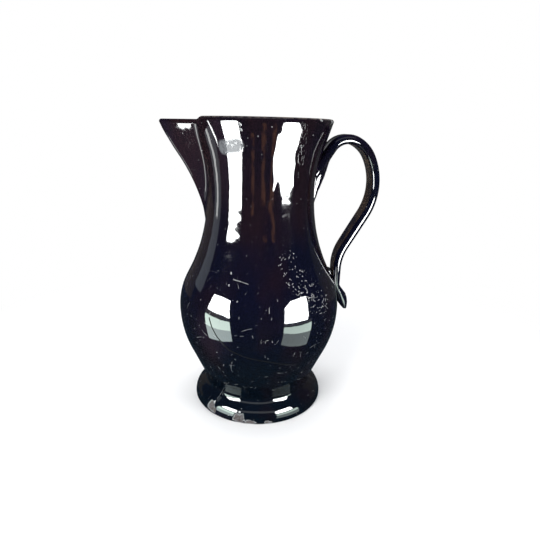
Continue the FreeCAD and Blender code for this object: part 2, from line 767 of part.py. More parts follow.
def draw_face(sketch, side):
    """Draws one face of the strap and returns each item with the ends where it begins and stops."""
    drawn = []
    for radius, place, angle, amount in strap_face(side):
        if not radius:
            finish = place + heading(angle) * amount
            drawn.append((add_line(sketch, (place.x, place.y), (finish.x, finish.y)), 1, 2))
            continue
        inward = math.copysign(math.pi / 2, amount)
        centre = place + heading(angle + inward) * radius
        turned = (angle - inward, angle - inward + amount)
        item = add_arc(sketch, (centre.x, centre.y), radius, min(turned), max(turned))
        drawn.append((item, 2, 1) if amount < 0 else (item, 1, 2))
    return drawn


def hold_angle(sketch, item, name):
    at = sketch.addConstraint(Sketcher.Constraint("Angle", item, math.radians(worth(name))))
    sketch.setExpression("Constraints[%d]" % at, name + " * 1 deg")


def hold_face(sketch, side):
    """Draws and holds one face of the strap; returns its two free ends."""
    drawn = draw_face(sketch, side)
    for (first, _, leave), (second, enter, _) in zip(drawn, drawn[1:]):
        smooth(sketch, (first, leave), (second, enter))
    root, *arcs, fall, back_in, rest = [item for item, _, _ in drawn]
    half_root = "%d * sizes.strap_root_thickness / 2" % side
    half_strap = "%d * sizes.strap_thickness / 2" % side
    half_low = "%d * sizes.strap_low_thickness / 2" % side
    hold_point(
        sketch,
        (root, 1),
        "%s - sin(%s) * %s" % (HANDLE_START[0], RISE, half_root),
        "%s + cos(%s) * %s" % (HANDLE_START[1], RISE, half_root),
    )
    hold_angle(sketch, root, "sizes.handle_rise")
    hold(sketch, "Distance", (root,), handle_share("root"))
    for item, name in zip(arcs, STRAP_ARCS):
        hold(sketch, "Radius", (item,), "%s + %s" % (handle_share(name), half_strap))
    for item, name in zip(arcs[:-1], STRAP_ARCS):
        hold_angle(sketch, item, "sizes.%s_turn" % name)
    hold(sketch, "Radius", (back_in,), "%s - %s" % (RETURN_ARC, half_low))
    sketch.addConstraint(Sketcher.Constraint("Vertical", rest))
    hold(sketch, "Distance", (rest,), handle_share("rest"))
    hold_point(sketch, (rest, 2), "%s + %s" % (HANDLE_REST, half_low), TAIL_TOP)
    return (root, 1), (rest, 2)


def draw_tail(sketch, outer_end, inner_end):
    """The turned-out tail, from the strap's outer face round to its inner one, in the belly's wall."""
    reach = "sizes.belly_radius + sizes.tail_overhang"
    tip = ("(%s - sizes.tail_tip_inset)" % reach, "(%s - sizes.tail_tip_fall)" % BELLY)
    embed_x = "(sizes.belly_radius - sizes.tail_embed)"
    held = [
        (HANDLE_REST + " + sizes.strap_low_thickness / 2", TAIL_TOP),
        (reach, BELLY + " + sizes.tail_shoulder_rise"),
        tip,
        (embed_x, "%s + %s - %s" % (tip[1], tip[0], embed_x)),
        (embed_x, TAIL_TOP),
        (HANDLE_REST + " - sizes.strap_low_thickness / 2", TAIL_TOP),
    ]
    start, shoulder, tip, under, inside, end = [point(worth(x), worth(z)) for x, z in held]
    radius = size("tail_corner")
    before = (shoulder - start).normalize()
    after = (tip - shoulder).normalize()
    setback = radius * math.tan(before.getAngle(after) / 2)
    leave = shoulder - before * setback
    enter = shoulder + after * setback
    centre = leave + FreeCAD.Vector(before.y, -before.x, 0) * radius
    turned = [math.atan2(spot.y - centre.y, spot.x - centre.x) for spot in (enter, leave)]

    slope = add_line(sketch, (start.x, start.y), (leave.x, leave.y))
    bend = add_arc(sketch, (centre.x, centre.y), radius, *turned)
    face = add_line(sketch, (enter.x, enter.y), (tip.x, tip.y))
    underside = add_line(sketch, (tip.x, tip.y), (under.x, under.y))
    back = add_line(sketch, (under.x, under.y), (inside.x, inside.y))
    top = add_line(sketch, (inside.x, inside.y), (end.x, end.y))
    corner = sketch.addGeometry(Part.Point(shoulder), True)
    join(sketch, (slope, 1), outer_end)
    smooth(sketch, (slope, 2), (bend, 2))
    smooth(sketch, (bend, 1), (face, 1))
    hold(sketch, "Radius", (bend,), "sizes.tail_corner")
    for line in (slope, face):
        sketch.addConstraint(Sketcher.Constraint("PointOnObject", corner, 1, line))
    join(sketch, (face, 2), (underside, 1))
    join(sketch, (underside, 2), (back, 1))
    join(sketch, (back, 2), (top, 1))
    join(sketch, (top, 2), inner_end)
    for where, place in zip(((corner, 1), (underside, 1), (back, 1), (top, 1)), held[1:-1]):
        hold_point(sketch, where, *place)


def pad_across(body, name, sketch, width):
    """Gives a side view its width, evenly to both sides."""
    feature = body.newObject("PartDesign::Pad", name)
    feature.Profile = sketch
    feature.Midplane = True
    feature.setExpression("Length", width)
    doc.recompute()
    return feature


def taper_sides(body):
    """Narrows the strap towards its tail, to the same amount on both sides."""
    sketch = sketch_on(body, "taper_section", "YZ_Plane")
    out = "(sizes.strap_width / 2 + %s)" % OVERRUN
    tip_z = "%s - sizes.tail_tip_fall" % BELLY
    for side in ("", "-"):
        polygon(sketch, [
            (side + "sizes.strap_width / 2", RIM),
            (side + "sizes.strap_low_width / 2", tip_z),
            (side + "sizes.strap_low_width / 2", "%s - %s" % (tip_z, OVERRUN)),
            (side + out, "%s - %s" % (tip_z, OVERRUN)),
            (side + out, RIM),
        ])
    check_sketch(sketch)
    pocket = body.newObject("PartDesign::Pocket", "taper")
    pocket.Profile = sketch
    pocket.Reversed = True
    pocket.Type = "ThroughAll"
    doc.recompute()
    return pocket


def along_side(edge):
    """True for an edge that runs along one side of a side view's pad."""
    first, last = edge.Vertexes[0].Point, edge.Vertexes[-1].Point
    return first.y * last.y > 0


def round_edges(body, name, base, radius, wanted):
    """Rounds the edges of a feature for which a test holds."""
    names = ["Edge%d" % (at + 1) for at, edge in enumerate(base.Shape.Edges) if wanted(edge)]
    feature = body.newObject("PartDesign::Fillet", name)
    feature.Base = (base, names)
    feature.setExpression("Radius", radius)
    doc.recompute()
    return feature


def make_handle():
    body = new_body("handle_strap")
    sketch = sketch_on(body, "strap_side", "XZ_Plane")
    outer_start, outer_end = hold_face(sketch, 1)
    inner_start, inner_end = hold_face(sketch, -1)
    first, last = [stretches[0][1] for stretches in (strap_face(1), strap_face(-1))]
    root_end = add_line(sketch, (first.x, first.y), (last.x, last.y))
    join(sketch, (root_end, 1), outer_start)
    join(sketch, (root_end, 2), inner_start)
    draw_tail(sketch, outer_end, inner_end)
    check_sketch(sketch)
    pad_across(body, "strap", sketch, "sizes.strap_width")
    taper = taper_sides(body)
    round_edges(body, "strap_edges", taper, "sizes.strap_edge", along_side)
    clear_of_wall(body, "wall_clearance")
    return body


def under_root(run):
    """A place on the underside of the strap's root, a run along it from its start."""
    x = "%s + %s * cos(%s) + sizes.strap_root_thickness / 2 * sin(%s)"
    z = "%s + %s * sin(%s) - sizes.strap_root_thickness / 2 * cos(%s)"
    return x % (HANDLE_START[0], run, RISE, RISE), z % (HANDLE_START[1], run, RISE, RISE)


def make_upper_wad():
    body = new_body("upper_handle_wad")
    sketch = sketch_on(body, "wad_section", "XZ_Plane")
    foot_z = HANDLE_START[1] + " - sizes.upper_wad_fall"
    polygon(sketch, [
        under_root("sizes.upper_wad_share * " + handle_share("root")),
        ("sizes.neck_radius", foot_z),
        ("sizes.neck_radius - sizes.wad_embed", foot_z),
        under_root("sizes.wad_embed * -1"),
    ])
    check_sketch(sketch)
    wad = pad_across(body, "wad", sketch, "sizes.upper_wad_width")
    ramp_foot = size("neck_radius") - size("wad_edge")

    def on_ramp(edge):
        return along_side(edge) and min(vertex.X for vertex in edge.Vertexes) > ramp_foot

    round_edges(body, "wad_edges", wad, "sizes.wad_edge", on_ramp)
    clear_of_wall(body, "neck_clearance")
    return body


def make_lower_wad():
    body = new_body("lower_handle_wad")
    sketch = sketch_on(body, "wad_section", "XZ_Plane")
    outer = HANDLE_REST + " - sizes.strap_low_thickness / 2"
    inner = outer + " - sizes.wad_embed"
    # its top is where the shoulder has fallen away from the strap by the wad's depth
    fall = "(sizes.rest_inset + sizes.strap_low_thickness / 2 + sizes.lower_wad_depth)"
    top = "%s + sqrt(%s * (2 * %s - %s))" % (BELLY, fall, SHOULDER_ARC, fall)
    polygon(sketch, [
        (outer, TAIL_TOP),
        (outer, top),
        (inner, top),
        (inner, TAIL_TOP),
    ])
    check_sketch(sketch)
    pad_across(body, "wad", sketch, "sizes.lower_wad_width")
    clear_of_wall(body, "belly_clearance")
    return body


def check_and_write(pieces):
    """Stops on a failed feature or a poor solid, then writes each piece."""
    for item in doc.Objects:
        if "Invalid" in item.State or "Error" in item.State:
            sys.exit("%s failed: %s" % (item.Label, item.State))
    for piece in pieces:
        shape = piece.Shape
        if shape.isNull() or not shape.isValid() or not shape.Solids:
            sys.exit("%s has no sound solid" % piece.Label)
        shape.exportStep("parts/%s.step" % piece.Label)
        print("%-18s %d solid, %.1f cm3" % (piece.Label, len(shape.Solids), shape.Volume / 1000))


thrown_body = make_thrown_body()
foot = make_foot()
foot_slip = make_foot_slip()
spout, spout_filled, body_filled = make_spout()
near_seam = make_seam("spout_seam_near", -1, body_filled, spout_filled)
far_seam = make_seam("spout_seam_far", 1, body_filled, spout_filled)
handle = make_handle()
upper_wad = make_upper_wad()
lower_wad = make_lower_wad()
doc.recompute()
check_and_write([thrown_body, foot, foot_slip, spout, near_seam, far_seam, handle, upper_wad, lower_wad])
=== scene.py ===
import math

import bmesh
import bpy
from mathutils import Matrix, Vector, noise


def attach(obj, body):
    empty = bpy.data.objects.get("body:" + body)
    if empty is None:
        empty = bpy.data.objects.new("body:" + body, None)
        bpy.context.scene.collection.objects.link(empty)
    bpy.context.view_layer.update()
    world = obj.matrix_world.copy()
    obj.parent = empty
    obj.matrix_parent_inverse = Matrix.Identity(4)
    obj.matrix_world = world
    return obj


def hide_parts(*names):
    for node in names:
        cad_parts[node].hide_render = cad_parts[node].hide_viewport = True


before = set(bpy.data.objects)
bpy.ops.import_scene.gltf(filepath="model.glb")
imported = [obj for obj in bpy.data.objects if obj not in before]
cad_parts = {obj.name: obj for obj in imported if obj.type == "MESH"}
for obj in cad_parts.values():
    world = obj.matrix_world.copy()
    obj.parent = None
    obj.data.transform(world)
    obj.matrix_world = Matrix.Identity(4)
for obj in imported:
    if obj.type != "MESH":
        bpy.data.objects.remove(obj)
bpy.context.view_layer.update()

# Camera: stands level with the rim, one and a half times the jug's height away and a
# little towards the spout's side, and looks down on the belly.
MM = 0.001
CAMERA_PLACE = Vector((-27.3, -306.1, 193.7)) * MM
CAMERA_HEADING = math.atan2(0.9936, 0.1132)
CAMERA_PITCH = math.radians(-17.58)
CAMERA_ROLL = math.radians(1.35)
CAMERA_LENS = 29.77
FILM_WIDTH = 36.0

camera = bpy.data.objects.new("camera", bpy.data.cameras.new("camera"))
bpy.context.scene.collection.objects.link(camera)
bpy.context.scene.camera = camera
camera.data.lens = CAMERA_LENS
camera.data.sensor_width = FILM_WIDTH
camera.data.clip_start = 0.01
look = Vector((
    math.cos(CAMERA_HEADING) * math.cos(CAMERA_PITCH),
    math.sin(CAMERA_HEADING) * math.cos(CAMERA_PITCH),
    math.sin(CAMERA_PITCH),
))
level = look.cross(Vector((0, 0, 1))).normalized()
upright = level.cross(look)
right = level * math.cos(CAMERA_ROLL) + upright * math.sin(CAMERA_ROLL)
up = upright * math.cos(CAMERA_ROLL) - level * math.sin(CAMERA_ROLL)
turned = Matrix((right, up, -look)).transposed().to_4x4()
camera.matrix_world = Matrix.Translation(CAMERA_PLACE) @ turned


# Thrown wall: the belly, waist and flaring throat were thrown in one piece. While it
# was leather hard, a beak was folded, set on a notch in the rim and smoothed in with
# wet clay, so that wall and spout now run into each other under one coat of glaze.
SEAT_RADIUS, SEAT_HEIGHT = 41.6, 22.6
BELLY_RADIUS, BELLY_HEIGHT = 57.09, 72.0
NECK_RADIUS, NECK_HEIGHT = 36.5, 152.0
RIM_RADIUS, RIM_HEIGHT = 46.6, 200.0
LOW_ARC, SHOULDER_ARC, WAIST_ARC, THROAT_ARC = 71.0, 47.7, 117.9, 95.0
WALL, FLOOR_HEIGHT, FLOOR_CORNER = 3.4, 27.6, 9.0
SPOUT_FOOT, SPOUT_DROP, SPOUT_WALL, TIP_ROUND = 133.0, 1.8, 2.8, 3.6
# up the beak: its keel's reach, and how many degrees aside of the keel it leaves the wall
KEEL = [
    (133, 37.9), (142, 39.3), (150.3, 41.8), (160.8, 46.0),
    (171.2, 51.4), (181.2, 57.7), (191, 63.4), (198.2, 66.8),
]
VALLEY = [(133, 5.0), (147, 10.2), (158, 13.0), (170, 16.6), (186, 21.0), (198.2, 26.0)]
WORKED_IN, WORKED_RISE = 2.2, 14.0
THINNEST_WALL = 2.4
FINGER_MARK, SAG, THROWING_RING = 0.10, 0.15, 0.18
FINGER_RISE, SAG_RISE, RING_RISE = 7.0, 45.0, 1.9
UNEVEN_ROUND, SAG_ROUND = 1.3, 0.8
# each run of glaze: degrees round the neck, its top and bottom, half its width, its rise
RUNS = [
    (-12.0, 192, 141, 1.5, 0.22), (-3.5, 196, 128, 1.3, 0.26),
    (4.6, 197, 150, 1.6, 0.30), (6.6, 152, 126, 1.1, 0.34),
]
RUN_WANDER = 2.4


def through(points, at):
    """The height of a smooth curve through points, at a place along them."""
    places = [p for p, _ in points]
    at = min(max(at, places[0]), places[-1])
    last = next((i for i, p in enumerate(places) if p >= at and i), 1)
    (x0, y0), (x1, y1) = points[last - 1], points[last]

    def slope(i):
        low, high = points[max(i - 1, 0)], points[min(i + 1, len(points) - 1)]
        return (high[1] - low[1]) / (high[0] - low[0])

    span = x1 - x0
    t = (at - x0) / span
    rise = (2 * t ** 3 - 3 * t ** 2 + 1) * y0 + (3 * t ** 2 - 2 * t ** 3) * y1
    leaving = (t ** 3 - 2 * t ** 2 + t) * span * slope(last - 1)
    return rise + leaving + (t ** 3 - t ** 2) * span * slope(last)


def ease(low, high, at):
    """Rises smoothly from 0 to 1 between two places."""
    t = min(max((at - low) / (high - low), 0.0), 1.0)
    return t * t * (3 - 2 * t)


def wall_radius(z):
    """The thrown wall's outside, along the arcs that the potter's rib left."""
    low_centre = BELLY_RADIUS - LOW_ARC
    seat = complex(SEAT_RADIUS - low_centre, SEAT_HEIGHT - BELLY_HEIGHT)
    touch = math.atan2(seat.imag, seat.real) + math.acos(LOW_ARC / abs(seat))
    touch_z = BELLY_HEIGHT + LOW_ARC * math.sin(touch)
    if z < touch_z:
        touch_r = low_centre + LOW_ARC * math.cos(touch)
        return SEAT_RADIUS + (touch_r - SEAT_RADIUS) * (z - SEAT_HEIGHT) / (touch_z - SEAT_HEIGHT)
    if z < BELLY_HEIGHT:
        return low_centre + math.sqrt(LOW_ARC ** 2 - (z - BELLY_HEIGHT) ** 2)
    turn = 2 * math.atan((BELLY_RADIUS - NECK_RADIUS) / (NECK_HEIGHT - BELLY_HEIGHT))
    if z < BELLY_HEIGHT + SHOULDER_ARC * math.sin(turn):
        return BELLY_RADIUS - SHOULDER_ARC + math.sqrt(SHOULDER_ARC ** 2 - (z - BELLY_HEIGHT) ** 2)
    if z < NECK_HEIGHT:
        return NECK_RADIUS + WAIST_ARC - math.sqrt(WAIST_ARC ** 2 - (z - NECK_HEIGHT) ** 2)
    lip = complex(
        RIM_RADIUS - WALL / 2 - NECK_RADIUS - THROAT_ARC,
        RIM_HEIGHT - WALL / 2 - NECK_HEIGHT,
    )
    flare = math.atan2(lip.imag, lip.real) + math.acos((THROAT_ARC + WALL / 2) / abs(lip))
    flare_z = NECK_HEIGHT + THROAT_ARC * math.sin(flare)
    if z < flare_z:
        return NECK_RADIUS + THROAT_ARC - math.sqrt(THROAT_ARC ** 2 - (z - NECK_HEIGHT) ** 2)
    flare_r = NECK_RADIUS + THROAT_ARC + THROAT_ARC * math.cos(flare)
    return flare_r + (z - flare_z) * math.tan(math.pi - flare)


def inside_radius(z):
    """The wall's inside, one wall in along its slope, rounded down into the floor."""
    slope = (wall_radius(z + 0.5) - wall_radius(z - 0.5)) if z > SEAT_HEIGHT + 1 else 0.5
    inside = wall_radius(z) - WALL * math.hypot(1, slope)
    under = FLOOR_HEIGHT + FLOOR_CORNER - z
    if under > 0:
        inside -= FLOOR_CORNER - math.sqrt(max(FLOOR_CORNER ** 2 - under ** 2, 0))
    return inside


def spout_radius(turn, z, inset):
    """How far the beak's outside is from the axis at a turn from its keel; an inset gives
    its channel's."""
    if z < SPOUT_FOOT:
        return 0.0
    ahead = through(KEEL, z) - TIP_ROUND
    valley = math.radians(through(VALLEY, z))
    corner = complex(wall_radius(z) * math.cos(valley) - ahead, wall_radius(z) * math.sin(valley))
    face = math.atan2(corner.imag, corner.real) - math.acos(min(TIP_ROUND / abs(corner), 1.0))
    turn = abs(turn)
    if turn > max(face, 0.2):
        return 0.0
    tip = TIP_ROUND - inset
    if turn < math.atan2(tip * math.sin(face), ahead + tip * math.cos(face)):
        return ahead * math.cos(turn) + math.sqrt(tip ** 2 - (ahead * math.sin(turn)) ** 2)
    return (ahead * math.cos(face) + tip) / math.cos(turn - face)


def worked_together(first, second, width):
    """The larger of two radii, with the corner between them filled over a width."""
    near = max(width - abs(first - second), 0.0) / width if width else 0.0
    return max(first, second) + near * near * width / 4


def glaze_runs(turn, z):
    """Glaze that ran down the neck in the kiln and set in low ridges."""
    height = 0.0
    for place, top, bottom, wide, rise in RUNS:
        wander = place + noise.noise(Vector((place, 0, z / 14.0))) * RUN_WANDER
        off = math.remainder(turn - math.radians(wander + 90), 2 * math.pi) * NECK_RADIUS
        swell = rise * ease(top, top - 12, z) * ease(bottom - 2, bottom + 3, z)
        height += swell * math.exp(-(off / wide) ** 2)
    return height


def worked_width(z):
    """How wide the clay is worked into the beak's corners: not at all at its foot."""
    return WORKED_IN * ease(SPOUT_FOOT, SPOUT_FOOT + WORKED_RISE, z)


def outside(turn, z):
    """The outer face at a turn from the spout's keel, uneven where fingers and weight left it."""
    radius = worked_together(wall_radius(z), spout_radius(turn, z, 0), worked_width(z))
    sweep = Vector((math.cos(turn), math.sin(turn), 0)) * UNEVEN_ROUND
    fingers = noise.noise(Vector((sweep.x, sweep.y, z / FINGER_RISE))) * FINGER_MARK
    slow = Vector((sweep.x * SAG_ROUND, sweep.y * SAG_ROUND, z / SAG_RISE + 9))
    sag = noise.noise(slow) * SAG
    hold = ease(SEAT_HEIGHT, SEAT_HEIGHT + 6, z) * ease(0, 2.5, abs(z - BELLY_HEIGHT) + 1.2)
    return radius + min(fingers + sag, 0.0) * hold + glaze_runs(turn, z)


def within(turn, z):
    """The inner face, with the rings that throwing left in it."""
    radius = worked_together(inside_radius(z), spout_radius(turn, z, SPOUT_WALL), worked_width(z))
    fading = ease(FLOOR_HEIGHT + 8, FLOOR_HEIGHT + 20, z) * ease(198, 180, z)
    rings = math.sin(z / RING_RISE + turn) * THROWING_RING * fading
    return min(radius - abs(rings), outside(turn, z) - THINNEST_WALL)


def spread(first, last, step):
    """Even places from one end to the other."""
    count = max(round(abs(last - first) / step), 1)
    return [first + (last - first) * i / count for i in range(count + 1)]


def skin(name, rings, smooth_angle=math.radians(50)):
    """A surface through rings of points in millimetres; a ring may be a single point."""
    made = bmesh.new()
    grid = [[made.verts.new(Vector(p) * MM) for p in ring] for ring in rings]
    for low, high in zip(grid, grid[1:]):
        for i in range(max(len(low), len(high))):
            after = (i + 1) % max(len(low), len(high))
            corners = [
                low[i % len(low)], low[after % len(low)],
                high[after % len(high)], high[i % len(high)],
            ]
            made.faces.new(list(dict.fromkeys(corners)))
    bmesh.ops.recalc_face_normals(made, faces=made.faces)
    mesh = bpy.data.meshes.new(name)
    made.to_mesh(mesh)
    made.free()
    mesh.shade_smooth()
    mesh.set_sharp_from_angle(angle=smooth_angle)
    piece = bpy.data.objects.new(name, mesh)
    bpy.context.scene.collection.objects.link(piece)
    return piece


# degrees round from the spout's keel, in finer steps on the spout
half_turns = spread(0, 5, 0.35)[:-1] + spread(5, 34, 0.75)[:-1] + spread(34, 180, 1.4)
turns = [math.radians(t) for t in [-t for t in half_turns[1:-1]][::-1] + half_turns]


def spout_side(turn):
    """1 where the beak's top edge runs, 0 along the rim."""
    return ease(math.radians(33), math.radians(24), abs(turn))


def ring_at(radii, heights):
    return [(-r * math.cos(t), -r * math.sin(t), h) for t, r, h in zip(turns, radii, heights)]


def flat_ring(radius, height):
    return ring_at([radius] * len(turns), [height] * len(turns))


def lowered(z):
    """A level's height at each turn: the beak's top edge lies a little below the rim."""
    return [z - SPOUT_DROP * spout_side(t) * ease(150, RIM_HEIGHT, z) for t in turns]


LIP = WALL / 2
FLOOR_EDGE = FLOOR_HEIGHT + 0.4
rings = [[(0, 0, SEAT_HEIGHT)]]
rings += [flat_ring(SEAT_RADIUS * share, SEAT_HEIGHT) for share in (0.3, 0.6, 0.9)]
for z in spread(SEAT_HEIGHT, RIM_HEIGHT - LIP, 1.2):
    heights = lowered(z)
    rings.append(ring_at([outside(t, h) for t, h in zip(turns, heights)], heights))
lip_heights = lowered(RIM_HEIGHT - LIP)
lip_out = [outside(t, h) for t, h in zip(turns, lip_heights)]
lip_in = [within(t, h) for t, h in zip(turns, lip_heights)]
for bend in spread(0, math.pi, math.pi / 10)[1:-1]:
    across = [(o + i) / 2 + (o - i) / 2 * math.cos(bend) for o, i in zip(lip_out, lip_in)]
    rings.append(ring_at(across, [h + LIP * math.sin(bend) for h in lip_heights]))
for z in spread(RIM_HEIGHT - LIP, FLOOR_EDGE, 1.4):
    heights = lowered(z)
    rings.append(ring_at([within(t, h) for t, h in zip(turns, heights)], heights))
rings += [flat_ring(within(0, FLOOR_EDGE) * share, FLOOR_HEIGHT) for share in (0.9, 0.6, 0.3)]
rings.append([(0, 0, FLOOR_HEIGHT)])
wall = skin("thrown_wall_and_spout", rings)


# how far from the axis the wall is taken to be where marks are laid out on it flat
UNROLLED_AT = 50.0


class Value:
    """A node's output; arithmetic on it adds Math nodes."""

    def __init__(self, finish, socket):
        self.finish, self.socket = finish, socket

    def other(self, output):
        """Another output of the same node."""
        return Value(self.finish, self.socket.node.outputs[output])

    def math(self, operation, *values):
        inputs = {i: value for i, value in enumerate(values)}
        return self.finish.node("Math", {"operation": operation}, inputs)

    def __add__(self, other):
        return self.math("ADD", self, other)

    def __radd__(self, other):
        return self.math("ADD", other, self)

    def __sub__(self, other):
        return self.math("SUBTRACT", self, other)

    def __rsub__(self, other):
        return self.math("SUBTRACT", other, self)

    def __mul__(self, other):
        return self.math("MULTIPLY", self, other)

    def __rmul__(self, other):
        return self.math("MULTIPLY", other, self)

    def __gt__(self, other):
        return self.math("GREATER_THAN", self, other)

    def __lt__(self, other):
        return self.math("LESS_THAN", self, other)

    def at_most(self, other):
        return self.math("MINIMUM", self, other)

    def at_least(self, other):
        return self.math("MAXIMUM", self, other)

    def from_to(self, start, end):
        """0 at the start and 1 at the end, with a soft step between."""
        return self.finish.node("MapRange", {"interpolation_type": "SMOOTHSTEP"}, {
            "Value": self, "From Min": start, "From Max": end,
        })


class Finish:
    """The nodes of a surface's material, or of another owner, with one way to add a node."""

    def __init__(self, name, owner=None):
        self.material = owner or bpy.data.materials.new(name)
        self.material.use_nodes = True
        self.tree = self.material.node_tree
        self.tree.nodes.clear()

    def node(self, kind, settings={}, inputs={}, output=0):
        made = self.tree.nodes.new("ShaderNode" + kind)
        for name, value in settings.items():
            setattr(made, name, value)
        for name, value in inputs.items():
            if isinstance(value, Value):
                self.tree.links.new(value.socket, made.inputs[name])
            else:
                made.inputs[name].default_value = value
        return Value(self, made.outputs[output]) if made.outputs else None

    def coloured(self, amount, first, second):
        """One colour into another by an amount."""
        first, second = [c if isinstance(c, Value) else (*c, 1) for c in (first, second)]
        return self.node("Mix", {"data_type": "RGBA"}, {0: amount, 6: first, 7: second}, 2)

    def vector(self, operation, *values, output=0):
        """A Vector Math node on its values."""
        inputs = {i: value for i, value in enumerate(values)}
        return self.node("VectorMath", {"operation": operation}, inputs, output)

    def spots(self, place, apart, seed):
        """The distance from the middles of scattered cells, in cells."""
        moved = self.vector("ADD", place, (seed, seed * 1.7, seed * 0.6))
        return self.node("TexVoronoi", {}, {"Vector": moved, "Scale": 1 / apart}, "Distance")

    def mottle(self, place, size, detail=3.0, stretch=(1, 1, 1)):
        """Cloudy noise, drawn out where a stretch is under 1."""
        stretched = self.vector("MULTIPLY", place, stretch)
        return self.node("TexNoise", {}, {
            "Vector": stretched, "Scale": 1 / size, "Detail": detail,
        })

    def unrolled(self, place):
        """The place as on a wall unrolled flat: round the axis and up it, in millimetres."""
        x = self.node("SeparateXYZ", {}, {0: place})
        turn = x.math("ARCTAN2", x, x.other(1) * -1.0)
        return self.node("CombineXYZ", {}, {0: turn * UNROLLED_AT, 1: x.other(2)})

    def strokes(self, flat, apart, long, wide, chance, seed):
        """Short fine scratches, one in some of the cells of a flat pattern."""
        moved = self.vector("ADD", flat, (seed * 3.1, seed * 1.3, 0))
        centre = self.node("TexVoronoi", {"voronoi_dimensions": "2D"}, {
            "Vector": moved, "Scale": 1 / apart,
        }, "Position")
        draw = self.node("SeparateColor", {}, {0: centre.other("Color")})
        heading = draw * math.pi
        x = self.node("SeparateXYZ", {}, {0: self.vector("SUBTRACT", moved, centre)})
        y = x.other(1)
        ahead, aside = heading.math("COSINE", heading), heading.math("SINE", heading)
        curl = (x * x + y * y) * 0.03
        along, across = x * ahead + y * aside, y * ahead - x * aside + curl
        length = draw.other(2) * long
        near = (along.math("ABSOLUTE", along) < length) * (across.math("ABSOLUTE", across) < wide)
        return near * (draw.other(1) > 1 - chance)

    def near(self, flat, points, reach):
        """1 close to a line through points, given as degrees round the axis and height."""
        spots = [Vector((math.radians(turn) * UNROLLED_AT, z, 0)) for turn, z in points]
        nearest = None
        for start, end in zip(spots, spots[1:]):
            heading = (end - start).normalized()
            off = self.vector("SUBTRACT", flat, start)
            along = self.vector("DOT_PRODUCT", off, heading, output="Value")
            along = along.at_least(0.0).at_most((end - start).length)
            on_line = self.node("VectorMath", {"operation": "SCALE"}, {
                0: (*heading,), "Scale": along,
            })
            gap = self.vector("SUBTRACT", off, on_line)
            distance = self.vector("LENGTH", gap, output="Value")
            nearest = distance if nearest is None else nearest.at_most(distance)
        return nearest.from_to(reach, reach * 0.6)

    def place(self):
        """The place on the object, in millimetres."""
        here = self.node("TexCoord", {}, {}, "Object")
        return self.vector("MULTIPLY", here, (1000, 1000, 1000))

    def shown(self, shader, output="OutputMaterial"):
        """The owner, with a shader as its surface."""
        self.node(output, {}, {"Surface": shader})
        return self.material


BROWN_BLACK = (0.0135, 0.0056, 0.0064)
BLUE_BLACK = (0.0025, 0.0031, 0.0105)
TEAL_BLACK = (0.0017, 0.0044, 0.0085)
PIT_PALE = (0.28, 0.29, 0.29)
RUB_PALE = (0.52, 0.53, 0.53)
GLAZE_IOR = 1.8
MATTE_ROUGHNESS, MATTE_IOR = 0.75, 1.2
BUMP_HEIGHT = 0.3 * MM
CLOUD_SIZE, CLOUD_STRETCH = 26.0, (1, 1, 0.4)
WARM_BY_HEIGHT, WARM_BY_CLOUD = 0.7, 2.2
WAVE_SIZE, DIMPLE_SIZE, GLOSS_PATCH = 16.0, 3.2, 9.0
WAVE_DEPTH, DIMPLE_DEPTH, MARK_DEPTH = 0.5, 0.035, 0.12
SMOOTHEST, ROUGHER_BY = 0.025, 0.04
WORN_PATCH, SCRATCH_BREAKS = 20.0, 1.8
WORN_LOW, WORN_ALL_OVER = 0.85, 0.07
# heights between which the blue turns to teal, and the belly's wear sets in
TEAL_FROM, TEAL_FULL = 80.0, 35.0
WORN_FROM, WORN_FULL = 112.0, 74.0
# heights between which the glaze turns brown
WALL_WARMS, FOOT_WARMS, HANDLE_WARMS, WADS_WARM = (95, 175), (60, 90), (205, 300), (190, 260)
# pin holes: how far apart, how large, the share of places without one, and a seed
PIN_HOLES = [(2.9, 0.24, 0.80, 3.0), (6.5, 0.46, 0.74, 11.0)]
# scratches: how far apart, half their length and width, how many of the places have one, a seed
SHORT_SCRATCHES = (3.7, 1.1, 0.12, 0.20, 2.0)
FINE_SCRATCHES = (6.8, 3.0, 0.10, 0.22, 5.0)
LONG_SCRATCHES = (15.0, 7.0, 0.13, 0.4, 9.0)


def lead_glaze(finish, warms, rubbed=1.0):
    """A black lead glaze, brown where it ran thin, with pin holes and scratches."""
    place = finish.place()
    flat = finish.unrolled(place)
    height = finish.node("SeparateXYZ", {}, {0: place}, 2)
    cloud = finish.mottle(place, CLOUD_SIZE, 3.0, CLOUD_STRETCH) - 0.5
    warmth = height.from_to(*warms) * WARM_BY_HEIGHT + cloud * WARM_BY_CLOUD
    cold = finish.coloured(height.from_to(TEAL_FROM, TEAL_FULL), BLUE_BLACK, TEAL_BLACK)
    colour = finish.coloured(warmth.at_most(1.0).at_least(0.0), cold, BROWN_BLACK)
    marks = None
    for apart, size, share, seed in PIN_HOLES:
        distance = finish.spots(place, apart, seed)
        chance = finish.node("SeparateColor", {}, {0: distance.other("Color")})
        dots = (distance * apart < chance * size) * (chance > share)
        marks = dots if marks is None else marks.at_least(dots)
    wear = finish.mottle(place, WORN_PATCH, 2.0).from_to(0.34, 0.52) * rubbed
    low = height.from_to(WORN_FROM, WORN_FULL)
    short = finish.strokes(flat, *SHORT_SCRATCHES)
    scratches = short.at_least(finish.strokes(flat, *FINE_SCRATCHES))
    scratches = scratches.at_least(finish.strokes(flat, *LONG_SCRATCHES))
    fading = finish.mottle(place, SCRATCH_BREAKS, 2.0).from_to(0.32, 0.62)
    where_worn = low * WORN_LOW + WORN_ALL_OVER
    marks = marks.at_least(scratches * wear * fading * where_worn)
    return place, flat, height, colour, marks


